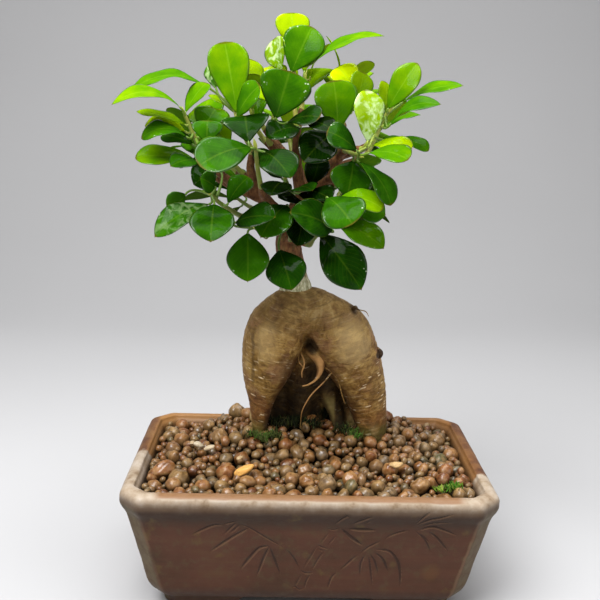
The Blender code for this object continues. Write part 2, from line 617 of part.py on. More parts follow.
def seat_copy(caudex, home):
    """The root grown by a hair, to cut the trunk's seat with."""
    seat = bpy.data.objects.new("seat", caudex.data.copy())
    home.objects.link(seat)
    for vertex, normal in zip(seat.data.vertices, [v.normal.copy() for v in seat.data.vertices]):
        vertex.co += normal * (GAP + 0.1) * MM
    return seat


def make_trunk(home, cutters, caudex):
    trunk = tube("trunk", TRUNK, 2, home)
    limbs = collection("branch_limbs")
    for name, path in BRANCHES.items():
        tube(name, path, 1, limbs)
    boolean_union_all(trunk, limbs, 'EXACT')
    boolean(trunk, seat_copy(caudex, cutters), 'DIFFERENCE')
    finish_material(trunk, *COLOURS["trunk"])
    return trunk


def outline(share):
    """Half width of a leaf, as a share of its widest, between base 0 and tip 1."""
    return math.sin(math.pi * share ** 1.45) ** 0.62


def facing(base, tip, turn):
    """Direction of the upper face, turned about the midrib away from the front."""
    along = (tip - base).normalized()
    view = (FRONT - along * FRONT.dot(along)).normalized()
    across = along.cross(view)
    upward = across.z if abs(across.z) > 0.35 else across.x
    if upward < 0:
        across = -across
    angle = math.radians(turn)
    return view * math.cos(angle) + across * math.sin(angle)


def placed_leaves(rows):
    leaves = []
    for base, tip, width, turn, arch in rows:
        base, tip = Vector(base), Vector(tip)
        leaves.append((base, tip, width, facing(base, tip, turn), arch))
    return leaves


def along_path(path, share):
    """A point and a direction on a path, at a share of its length."""
    points = [Vector(p[:3]) for p in path]
    lengths = [(b - a).length for a, b in zip(points, points[1:])]
    left = share * sum(lengths)
    for a, b, length in zip(points, points[1:], lengths):
        if left <= length:
            return a.lerp(b, left / length), (b - a).normalized()
        left -= length
    return points[-1], (points[-1] - points[-2]).normalized()


def ruled_leaves(path, count, length, seed):
    """Leaves set round a stem by the golden angle, opening outward."""
    rnd = random.Random(seed)
    leaves = []
    start = rnd.uniform(0, 360)
    for i in range(count):
        share = 0.30 + 0.70 * (i + 0.5) / count
        node, along = along_path(path, share)
        outward = (node - CROWN_CENTRE).normalized()
        side = along.orthogonal().normalized()
        around = math.radians(start + 137.5 * i)
        ring = side * math.cos(around) + along.cross(side) * math.sin(around)
        lean = 0.35 + 0.75 * share
        way = (ring + along * lean + outward * 0.7 + UP * 0.15).normalized()
        base = node + way * rnd.uniform(6.0, 9.0)
        size = length * rnd.uniform(0.82, 1.12)
        droop = UP * rnd.uniform(-0.35, 0.05)
        tip = base + (way + droop).normalized() * size
        face = UP + outward * 0.5 + FRONT * 0.15
        axis = (tip - base).normalized()
        face = (face - axis * face.dot(axis)).normalized()
        leaves.append((base, tip, size * rnd.uniform(0.66, 0.78), face, rnd.uniform(0.06, 0.14)))
    return leaves


def nearest_on_path(path, target):
    """The point of a stem that a leaf stalk grows from."""
    best = None
    for a, b in zip(path, path[1:]):
        a, b = Vector(a[:3]), Vector(b[:3])
        share = (target - a).dot(b - a) / (b - a).length_squared
        point = a.lerp(b, min(0.96, max(0.04, share)))
        if best is None or (point - target).length < (best - target).length:
            best = point
    return best


def leaf_rings(leaf, path, folded):
    """Sections of one leaf from stalk foot to tip, folded at the midrib or flat."""
    base, tip, width, face, arch = leaf
    axis = tip - base
    length = axis.length
    along = axis.normalized()
    side = along.cross(face)
    foot = nearest_on_path(path, base)
    bend = along.rotation_difference((base - foot).normalized())
    miter = min(2.0, 1.0 / math.cos(bend.angle / 2))
    rings = []
    for centre, turned, spread in ((foot, bend, 1.0), (base, Quaternion().slerp(bend, 0.5), miter)):
        rings.append(section(centre, turned @ side * STALK_HALF_WIDTH, turned @ face * spread,
                             STALK_EDGE, STALK_MIDDLE, folded))
    thick = BLADE_THICKNESS / 2
    for share in BLADE_SECTIONS:
        centre = base + axis * share + face * arch * length * 4 * share * (1 - share)
        reach = side * (width / 2 * outline(share))
        if folded:
            reach_up = face * BLADE_FOLD * reach.length
            rings.append(section(centre, reach, face, thick, thick + MIDRIB_RISE, folded, reach_up))
        else:
            rings.append(section(centre, reach, face, thick, thick, folded))
    rings.append(section(tip, side * (width / 2 * TIP_SHARE), face, thick, thick, folded))
    return rings


def section(centre, reach, face, edge, middle, folded, lift=None):
    """One ring of a leaf: its upper points from left to right, then the lower ones back."""
    lift = lift or Vector()
    left = centre - reach + lift
    right = centre + reach + lift
    if folded:
        return [left + face * edge, centre + face * middle, right + face * edge,
                right - face * edge, centre - face * middle, left - face * edge]
    return [left + face * edge, right + face * edge, right - face * edge, left - face * edge]


def leaf_object(name, rings, home):
    """A leaf from its sections, both faces split into triangles alike."""
    count = len(rings[0])
    half = count // 2
    faces = []
    for i in range(half - 1):
        faces.append((i, count - 1 - i, count - 2 - i, i + 1))
    for level in range(len(rings) - 1):
        a = level * count
        b = a + count
        for i in range(half - 1):
            under = count - 1 - i
            if i % 2:
                faces += [(a + i, a + i + 1, b + i), (a + i + 1, b + i + 1, b + i)]
                faces += [(a + under, b + under, a + under - 1), (a + under - 1, b + under, b + under - 1)]
            else:
                faces += [(a + i, a + i + 1, b + i + 1), (a + i, b + i + 1, b + i)]
                faces += [(a + under, b + under - 1, a + under - 1), (a + under, b + under, b + under - 1)]
        for i, j in ((half - 1, half), (count - 1, 0)):
            faces += [(a + i, a + j, b + j), (a + i, b + j, b + i)]
    last = (len(rings) - 1) * count
    for i in range(half - 1):
        faces.append((last + i, last + i + 1, last + count - 2 - i, last + count - 1 - i))
    points = [p for ring in rings for p in ring]
    return mesh_object(name, points, faces, home)


def stem_path(path):
    """The stem with its radii, thick at the branch and thin at the bud."""
    count = len(path) - 1
    return [(*p, 1.9 - 0.8 * i / count) for i, p in enumerate(path)]


def shoot_stem(branch, further):
    """A shoot's centre line, in line with the branch end that it grows from."""
    before, end = (Vector(p[:3]) for p in BRANCHES[branch][-2:])
    along = (end - before).normalized()
    return [end + along * GAP, end + along * 2.5] + [Vector(p) for p in further]


def make_shoot(name, path, leaves, folded, home):
    shoot = tube(name, stem_path(path), 1, home)
    blades = collection(name + "_blades")
    for number, leaf in enumerate(leaves):
        leaf_object("%s_leaf_%d" % (name, number), leaf_rings(leaf, path, folded), blades)
    boolean_union_all(shoot, blades, 'MANIFOLD')
    merge_flat_faces(shoot)
    height = sum(leaf[0].z for leaf in leaves) / len(leaves)
    age = min(1.0, max(0.0, (height - 240.0) / 90.0))
    colour = [a + (b - a) * age for a, b in zip(OLD_LEAF, YOUNG_LEAF)]
    finish_material(shoot, colour, 0.3)
    return shoot


def centre_all(plant):
    """Moves the whole plant so that its box stands over the origin."""
    for thing in plant.objects:
        thing.data.transform(Matrix.Translation(CENTRING * MM))


def main():
    clear_scene()
    plant = collection("ginseng_ficus")
    cutters = collection("cutters")
    make_pot(plant, cutters)
    make_soil(plant, cutters)
    make_gravel(plant, cutters)
    caudex = make_caudex(plant, cutters)
    make_trunk(plant, cutters, caudex)
    for name, (branch, further, rows) in SHOOTS.items():
        path = shoot_stem(branch, further)
        make_shoot(name, path, placed_leaves(rows), True, plant)
    for name, (branch, further, count, length, seed) in RULED_SHOOTS.items():
        path = shoot_stem(branch, further)
        make_shoot(name, path, ruled_leaves(path, count, length, seed), False, plant)
    centre_all(plant)


main()
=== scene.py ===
"""Looks of the ginseng ficus in its rectangular stoneware pot.

Every CAD node but the soil is replaced by a finer piece of the same form. Lengths are in
millimetres in the tables and are scaled to metres when a mesh is made. X is to the right
along the pot's front, Y points to the back and Z is up.
"""
import math
import random

import bmesh
import bpy
import numpy as np
from mathutils import Matrix, Quaternion, Vector, noise


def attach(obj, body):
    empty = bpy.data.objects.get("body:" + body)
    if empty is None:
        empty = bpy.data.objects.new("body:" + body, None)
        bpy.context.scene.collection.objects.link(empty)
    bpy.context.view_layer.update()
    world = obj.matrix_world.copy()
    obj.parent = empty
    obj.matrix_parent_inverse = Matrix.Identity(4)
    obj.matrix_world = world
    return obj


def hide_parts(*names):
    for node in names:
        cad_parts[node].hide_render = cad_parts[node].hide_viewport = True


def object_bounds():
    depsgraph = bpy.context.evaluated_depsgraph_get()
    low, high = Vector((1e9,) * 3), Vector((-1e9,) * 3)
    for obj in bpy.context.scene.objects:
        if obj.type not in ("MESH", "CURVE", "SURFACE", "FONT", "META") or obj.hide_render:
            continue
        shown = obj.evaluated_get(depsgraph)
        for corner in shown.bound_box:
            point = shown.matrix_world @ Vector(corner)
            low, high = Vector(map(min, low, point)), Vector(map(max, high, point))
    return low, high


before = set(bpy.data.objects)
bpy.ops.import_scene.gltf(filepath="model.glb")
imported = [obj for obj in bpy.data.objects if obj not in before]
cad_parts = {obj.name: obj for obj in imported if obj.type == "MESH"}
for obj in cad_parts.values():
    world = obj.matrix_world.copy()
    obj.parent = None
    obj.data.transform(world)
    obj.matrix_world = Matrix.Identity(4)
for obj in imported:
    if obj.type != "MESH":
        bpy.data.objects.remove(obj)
cad_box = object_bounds()

MM = 0.001
CENTRING = Vector((2.318, -1.044, 0.0))
UP = Vector((0.0, 0.0, 1.0))
FRONT = Vector((0.0, -0.98, 0.2))

# Camera, in the plant's own frame
CAMERA_PLACE = (-19.3, -562.6, 304.1)
CAMERA_YAW = -1.15
CAMERA_PITCH = 11.71
CAMERA_ROLL = 1.5
LENS = 53.27

# Pot: length and depth over the rim, height to the top of the lip
POT_LENGTH = 230.0
POT_DEPTH = 155.0
LIP_TOP = 84.0
FOOT_HEIGHT = 8.0
FLOOR_TOP = 17.0

# Pot profile, as inset from the rim's widest line, height, and leg of the cut corner
HOLLOW_SECTIONS = [(27.0, FLOOR_TOP, 5.0), (23.0, 20.0, 6.5), (20.5, 30.0, 7.0), (15.4, 60.0, 8.0),
                   (11.4, 77.0, 8.6)]
LIP_SECTIONS = [(9.0, 81.5, 9.0), (8.2, 83.4, 9.4), (6.0, LIP_TOP, 10.2), (3.2, 83.4, 11.4),
                (1.0, 81.6, 12.4), (0.0, 78.6, 12.8), (0.1, 75.0, 12.8), (1.2, 72.0, 12.2),
                (3.4, 68.0, 11.2), (5.0, 63.0, 10.4)]
BODY_SECTIONS = [(6.6, 55.5, 10.0), (8.7, 46.0, 10.0), (11.2, 34.5, 10.0), (13.4, 23.0, 10.0),
                 (15.4, 16.0, 9.8), (18.4, 11.0, 9.4), (22.5, FOOT_HEIGHT, 9.0),
                 (23.6, 4.0, 9.0), (24.6, 0.0, 9.0)]
FOOT_GAP_FRONT = 85.0
FOOT_GAP_SIDE = 40.0
FOOT_LEG = 17.0
DRAIN_X = 46.0
DRAIN_RADIUS = 7.0

# Incised bamboo on the front wall: width of the gouge, then its course as x, z
BAMBOO = [
    (1.6, [(-51.1, 65.6), (-57.0, 65.1), (-63.6, 62.0), (-70.2, 57.9)]),
    (1.3, [(-43.4, 67.7), (-47.5, 63.0), (-51.4, 58.5)]),
    (1.2, [(-41.6, 66.1), (-45.2, 62.0), (-48.2, 59.3)]),
    (1.1, [(-51.7, 66.0), (-47.5, 67.2), (-43.9, 68.5)]),
    (1.8, [(-36.2, 63.7), (-44.0, 58.4), (-51.2, 52.8), (-59.7, 45.7)]),
    (1.3, [(-5.4, 34.5), (-9.5, 42.6), (-13.9, 48.6)]),
    (1.3, [(-16.6, 50.4), (-26.6, 57.0), (-36.2, 63.7), (-41.6, 66.2)]),
    (2.0, [(-24.2, 50.6), (-30.2, 48.8), (-35.5, 42.1), (-41.0, 33.8)]),
    (1.7, [(-24.2, 49.7), (-27.1, 42.3), (-31.2, 28.7)]),
    (1.7, [(-23.6, 49.7), (-21.0, 41.6), (-17.2, 30.1)]),
    (1.0, [(-4.0, 30.0), (-6.0, 25.5), (-8.3, 20.4)]),
    (1.1, [(1.2, 30.1), (-1.1, 24.8), (-2.1, 19.3)]),
    (1.1, [(-10.2, 19.8), (-7.7, 20.6), (-5.2, 18.4), (-1.9, 20.0)]),
    (1.2, [(-5.0, 33.0), (-1.3, 30.8), (3.3, 31.8)]),
    (1.0, [(-3.5, 33.8), (0.8, 42.8), (4.7, 51.4)]),
    (1.1, [(2.0, 33.1), (5.7, 41.4), (9.1, 47.8)]),
    (1.1, [(4.7, 52.1), (7.7, 50.4), (11.3, 49.0)]),
    (0.9, [(4.4, 49.9), (7.2, 48.1), (10.2, 47.3)]),
    (0.9, [(6.4, 52.9), (9.0, 57.0), (11.5, 61.4)]),
    (0.9, [(11.2, 51.9), (13.5, 55.6), (15.8, 59.3)]),
    (1.0, [(10.5, 63.9), (14.4, 63.2), (18.2, 64.8)]),
    (1.5, [(14.8, 67.4), (18.7, 71.8), (22.6, 75.0)]),
    (1.0, [(19.9, 75.4), (22.1, 73.8), (24.1, 72.3)]),
    (2.6, [(19.3, 63.3), (25.1, 57.7), (31.3, 52.7)]),
    (2.4, [(23.9, 63.8), (31.1, 63.6), (38.6, 63.4)]),
    (1.6, [(25.5, 67.7), (31.1, 71.2), (36.5, 74.1)]),
    (1.0, [(32.6, 67.8), (34.8, 70.0), (36.4, 71.4)]),
    (1.3, [(12.2, 19.4), (14.2, 27.4), (17.3, 32.1)]),
    (1.2, [(19.1, 33.3), (25.2, 40.3), (29.6, 45.5)]),
    (1.2, [(31.2, 46.5), (35.5, 50.9), (42.7, 55.6)]),
    (1.2, [(44.7, 56.8), (48.1, 59.6), (53.9, 62.2), (59.8, 63.8)]),
    (1.5, [(34.0, 45.0), (31.9, 39.0), (31.7, 29.6)]),
    (1.4, [(35.9, 45.0), (37.5, 37.6), (39.7, 22.2)]),
    (1.5, [(37.0, 45.8), (40.4, 39.9), (42.8, 31.3)]),
    (1.8, [(40.2, 46.9), (45.2, 41.5), (48.8, 33.3)]),
    (2.0, [(40.4, 49.5), (48.4, 47.9), (54.0, 40.9), (56.2, 32.7), (57.0, 22.9)]),
    (1.4, [(62.8, 63.3), (69.4, 56.7), (73.8, 47.6)]),
    (1.2, [(66.0, 61.0), (68.9, 58.6), (71.9, 55.2)]),
    (1.8, [(71.0, 62.9), (76.5, 58.3), (83.7, 49.3)]),
    (1.8, [(64.0, 63.6), (72.7, 66.3), (80.7, 63.9), (88.0, 60.6)]),
    (1.1, [(65.5, 66.6), (74.1, 69.5), (85.3, 70.2)]),
    (1.5, [(63.3, 67.7), (70.7, 72.2), (76.5, 73.9), (84.8, 76.8)]),
    (1.4, [(62.9, 68.6), (66.9, 74.4), (70.9, 78.0)]),
]
GOUGE_DEPTH = 0.42
GOUGE_DEEPEST = 0.9
# The front wall that is cut: in front of y, and between two heights
GOUGE_ZONE = (-45, 14, 80)

# Points along the front wall, a cut corner, a side wall and the back wall, and their softening
WALL_STEPS = (316, 9, 36, 54)
CORNER_SOFT = 2.4

# Pellet bed: its floor, the height of its surface at the front, and how the surface rises from the
# ends and from the front toward the back rim
PELLET_FLOOR = 66.0
HEAP_LOW = 85.4
HEAP_RISE = 8.8
HEAP_MIDDLE_X = 4.0
HEAP_HALF_LENGTH = 88.0
HEAP_END_SLOPE = 34.0
HEAP_FRONT_Y = -30.0
HEAP_FRONT_SLOPE = 70.0
WALL_LEVEL = 80.0

# Dropping of the pellets. CLOSENESS is the square of the spacing, as a share of touching
PELLET_SEED = 4
PELLET_RADIUS = 3.75
PELLET_SPREAD = 1.2
PELLET_LIMITS = (2.2, 6.6)
SMALL_LIMITS = (1.7, 2.6)
SMALL_COUNT = 420
MISSES_BEFORE_SMALL = 60
PLACES_TRIED = 70
DROP_REACH = (106, 69)
CLOSENESS = 0.9
SET_CLEARANCE = 0.82

# Pellets set one by one: x, y, radius, stretch along x, tone
SET_PELLETS = [
    (-94.0, -29.0, 6.4, 1.5, 0.20), (-81.9, -40.1, 6.9, 1.0, 0.62), (-60.3, 19.0, 6.1, 1.0, 0.55),
    (-52.9, -31.0, 6.0, 1.0, 0.12), (-16.3, 37.4, 4.9, 1.0, 1.00), (10.9, -46.5, 6.0, 1.0, 0.88),
    (3.7, 42.0, 5.6, 1.0, 0.24), (-2.5, -27.7, 5.0, 1.0, 0.46), (25.6, -39.3, 5.2, 1.0, 0.28),
    (68.4, -48.2, 5.2, 1.25, 0.50), (47.3, 25.2, 5.6, 1.0, 0.66), (52.7, -23.1, 5.4, 1.0, 0.16),
    (-51.3, 64.0, 6.6, 1.0, 0.74), (-70.1, 44.7, 4.8, 1.0, 0.60), (-2.0, -46.0, 4.6, 1.0, 0.34),
]
# Stone chips: x, y, size, colour share from cream to yellow, how long, turn, rise
CHIPS = [(-41.1, -38.2, 5.2, 1.0, 1.45, 12, 26), (-73.1, 1.1, 4.0, 0.0, 1.3, 20, -25),
         (-65.9, -5.3, 3.4, 0.1, 1.4, -10, 20), (-45.0, -20.0, 2.4, 0.3, 1.2, 40, 10),
         (56.2, -25.7, 4.4, 0.45, 1.2, -20, 15), (-78.0, 6.0, 2.4, 0.2, 1.2, 70, 5)]
# Moss tufts: x, y, spread, count of blades, height, tone
TUFTS = [(-31.0, 11.0, 5.5, 70, 4.0, 0.55), (-22.0, 15.0, 5.0, 70, 3.6, 0.42),
         (-38.0, 16.0, 4.0, 40, 3.0, 0.5), (-20.0, 34.0, 7.0, 90, 5.0, 0.22),
         (-8.0, 36.0, 8.0, 120, 5.0, 0.18), (4.0, 34.0, 6.0, 70, 4.0, 0.15),
         (9.0, 53.0, 5.0, 110, 11.0, 0.10), (15.3, 50.0, 3.6, 220, 10.0, 0.08),
         (-8.0, 58.0, 8.0, 90, 8.0, 0.12), (22.0, 56.0, 5.0, 70, 8.0, 0.12),
         (33.0, 17.0, 4.5, 60, 3.4, 0.6), (25.0, 24.0, 4.5, 70, 4.2, 0.3),
         (88.9, -54.0, 4.6, 60, 4.0, 0.8), (79.0, -57.0, 2.8, 20, 2.0, 0.98),
         (84.0, -55.5, 3.0, 26, 2.4, 0.9)]

# Swollen root: centre lines of its legs as x, y, z and radius. Above ROOT_DEEPEN_Z the melted
# skin is drawn out, front to back, about ROOT_MIDDLE_Y
ROOT_MIDDLE_Y = 31.0
ROOT_DEEPEN_Z = 140.0
ROOT_CROWN_Z = 165.0
ROOT_DEEPEN = 0.28
LEFT_LEG = [(2, 25, 175, 14), (-12, 25, 173.5, 16.8), (-20.5, 25, 165, 20.8), (-25, 25, 154, 21),
            (-27, 24, 144, 19.6), (-29.5, 24, 132, 17), (-31.6, 25, 120, 13), (-32.4, 26, 110, 9.4),
            (-33, 27, 100, 7), (-33.8, 28, 90, 5.6), (-34.5, 29, 72, 5.2), (-35, 30, 48, 4)]
RIGHT_LEG = [(-10, 25, 174.5, 15), (4, 25, 175, 15), (13, 25, 168, 19), (20.5, 25, 159, 21.4),
             (26.4, 26, 148, 20.8), (31.6, 27, 137, 19.2), (36.4, 28, 126, 16.8), (40, 29, 116, 15),
             (42.4, 30, 105, 13.3), (44.8, 30, 94, 11.4), (46, 31, 80, 9.6), (47, 32, 48, 6)]
BACK_LEG = [(-6, 34, 168, 17), (-9, 42, 152, 18), (-9, 46, 134, 16.5), (-6, 48, 118, 14),
            (-5, 49, 104, 11.5), (-6, 50, 92, 9.5), (-7, 51, 72, 7.5), (-8, 51, 48, 5)]
THIRD_LEG = [(12, 36, 160, 17), (17, 43, 142, 14.5), (15, 44, 126, 10.5), (15.5, 43, 112, 7.4),
             (19.5, 42, 100, 6), (22.5, 42, 90, 5.4), (24.5, 42, 72, 5), (25.5, 43, 48, 4)]
INNER_LEG = [(-14, 42, 146, 14), (-19, 46, 124, 11.5), (-21, 49, 106, 9), (-22, 51, 90, 7.5),
             (-23, 52, 72, 6), (-23.5, 53, 48, 4)]
MIDDLE_LEG = [(4, 42, 146, 14), (5, 48, 124, 11), (6, 51, 106, 8.6), (6.5, 53, 90, 7),
              (7, 53.5, 72, 5.6), (7.5, 54, 48, 4)]
SIDE_LEG = [(-25, 37, 146, 13), (-31, 44, 128, 9), (-35.5, 48, 112, 5.2), (-37.5, 50, 98, 4.6),
            (-38.5, 51, 72, 4.2), (-39, 52, 48, 3.4)]
RIGHT_BACK_LEG = [(20, 40, 150, 14), (27, 45, 130, 11), (30.5, 48, 112, 9), (33, 50, 98, 7.5),
                  (34, 51, 72, 6), (34.5, 52, 48, 4)]
LEGS = (LEFT_LEG, RIGHT_LEG, BACK_LEG, THIRD_LEG, INNER_LEG, MIDDLE_LEG, SIDE_LEG, RIGHT_BACK_LEG)
HOOKED_ROOT = [(-3, 29, 150, 4.6), (2.6, 20, 148, 4.7), (6.6, 17, 143, 4.1), (7.2, 16, 136, 2.3),
               (4.4, 15.5, 129.5, 1.0), (-0.5, 16, 125.6, 0.55), (-4.5, 16, 124.4, 0.4)]

# Swellings and hollows of the root's skin: height, centre and reach
SWELLINGS = [(1.6, (-33.5, 8.0, 148.5), (3.6, 5, 3.2)), (-1.5, (-37.0, 8.0, 141.0), (2.2, 8, 9)),
             (1.5, (46.5, 14.0, 147.7), (4, 8, 4)), (-1.4, (-35.5, 8.0, 150.0), (1.8, 12, 30))]
# The shoulder that the graft sits on: height, reach round the graft and where it starts
GRAFT_SHOULDER = (2.2, 22, 170)

# Fine roots on the front of the root: x, y, z and radius
ROOTLETS = [[(7.0, 19, 139.5, 0.7), (15.1, 15, 135.3, 0.6), (19.4, 16, 135.8, 0.3)],
            [(14.6, 15.5, 135.4, 0.5), (18.7, 14.5, 130.9, 0.45), (20.9, 17, 125.3, 0.2)],
            [(14.8, 15.2, 134.4, 0.6), (9.9, 14, 128.3, 0.55), (2.3, 15, 119.6, 0.5),
             (-2.1, 18, 111.0, 0.45), (-4.4, 22, 103.1, 0.4), (-5.0, 25, 91.0, 0.35)],
            [(-6.6, 21, 148.5, 0.7), (-3.7, 16, 140.9, 0.6), (-5.1, 16, 134.5, 0.5),
             (-4.9, 16, 130.4, 0.2)],
            [(-7.2, 20, 147.5, 0.6), (-7.6, 15, 142.5, 0.5), (-3.4, 15.5, 137.2, 0.35)],
            [(45.6, 20, 151.5, 1.0), (47.6, 18.5, 148.0, 2.3), (46.8, 19, 144.0, 1.0)],
            [(20.5, 17, 126.5, 0.45), (22.5, 16, 119.0, 0.4), (25.0, 17, 112.0, 0.3)],
            [(27.5, 16, 178.5, 1.6), (29.2, 13.5, 180.4, 1.5), (31.2, 12, 179.3, 0.5),
             (35.9, 10, 178.5, 0.35), (37.9, 10, 175.4, 0.2)]]

# Grafted trunk and branches: centre lines as x, y, z and radius. The graft seat lies in the root
GRAFT_SEAT = [(-10.3, 25, 175, 15.0), (-10.4, 25, 178.5, 12.9)]
TRUNK = [(-10.6, 25, 183, 11.2), (-10.8, 25, 191, 10.8), (-12, 24.6, 198, 9.2), (-13.4, 24, 206, 8.6),
         (-16.6, 22, 222, 8.3), (-12.5, 18, 238, 7.3), (-7.4, 15, 250, 6.4), (5, 10, 267, 5.2),
         (15.5, 6, 282, 3.6)]
BRANCHES = {
    "apex": [(-8, 15, 249, 4.2), (-12, 8, 272, 3.4), (-13, 0, 296, 2.2)],
    "crown": [(-12, 8, 271, 3.0), (-23, -5, 279, 2.6), (-29, -11, 287, 1.9)],
    "left": [(-15, 20, 233, 4.8), (-31, 3, 251, 3.8), (-40, -9, 267, 2.9), (-40, -15, 281, 2.1)],
    "far_left": [(-30, 4, 250, 3.4), (-50, -10, 261, 2.9), (-66, -20, 275, 2.2)],
    "front_left": [(-30, 4, 250, 3.0), (-33, -10, 256, 2.4), (-34, -21, 262, 1.9)],
    "inner_left": [(-9, 16, 246, 3.4), (-12, 3, 251, 2.0)],
    "inner_right": [(2, 11, 263, 3.2), (13, 3, 262, 2.0)],
    "inner_low": [(-12, 17, 240, 3.2), (-8, 4, 246, 2.0)],
    "inner_far_left": [(-34, -1, 256, 2.8), (-46, -3, 268, 2.0)],
    "inner_upper_left": [(-21, -3, 277, 2.5), (-32, 2, 288, 1.9)],
    "low_left": [(-16.5, 22, 227, 4.4), (-31, 2, 236, 3.2), (-45, -12, 242, 2.1)],
    "hanging_left": [(-27, 6, 234, 2.8), (-30, -6, 230, 1.8)],
    "hanging_front": [(-16, 22, 224, 3.2), (-15, 6, 226, 2.0)],
    "hanging_right": [(-16, 21, 225, 3.2), (-4, 7, 223, 2.0)],
    "right_front": [(-2, 13, 258, 3.8), (11, -6, 267, 3.0), (16, -20, 268, 2.1)],
    "right_mid": [(15, 7, 281, 3.4), (17, -11, 284, 2.2)],
    "right_top": [(15, 7, 281, 3.6), (27, -11, 285, 2.4)],
    "top": [(15.5, 6.5, 281, 3.2), (15, -1, 289, 2.1)],
    "back_low": [(-14, 19, 235, 4.0), (-10, 34, 246, 3.0), (-8, 42, 250, 2.1)],
    "back_low_left": [(-16, 22, 228, 4.0), (-28, 34, 236, 2.9), (-36, 40, 240, 2.1)],
    "back_low_right": [(-13, 19, 236, 4.0), (4, 34, 240, 2.9), (12, 40, 241, 2.1)],
    "back_left": [(-30, 4, 250, 3.2), (-44, 18, 262, 2.6), (-51, 25, 267, 2.1)],
    "back_mid": [(-5, 14, 253, 3.8), (-12, 32, 274, 2.9), (-15, 38, 281, 2.1)],
    "back_right": [(6, 10, 268, 3.6), (24, 24, 275, 2.8), (30, 28, 278, 2.1)],
    "upper_back_left": [(-11.5, 9, 270, 3.2), (-28, 18, 289, 2.6), (-33, 21, 295, 2.1)],
    "upper_back_right": [(15, 7, 281, 3.4), (17, 19, 295, 2.7), (17, 23, 301, 2.1)],
    "top_back": [(-13, 2, 290, 2.4), (-11, 14, 303, 2.1), (-10, 18, 308, 1.9)],
    "right_side": [(14.5, 7, 281, 3.2), (27, 6, 284, 2.7), (32, 6, 287, 2.1)],
    "left_side": [(-48, -8.5, 260, 2.8), (-57, 0, 262, 2.5), (-62, 4, 264, 2.1)],
}
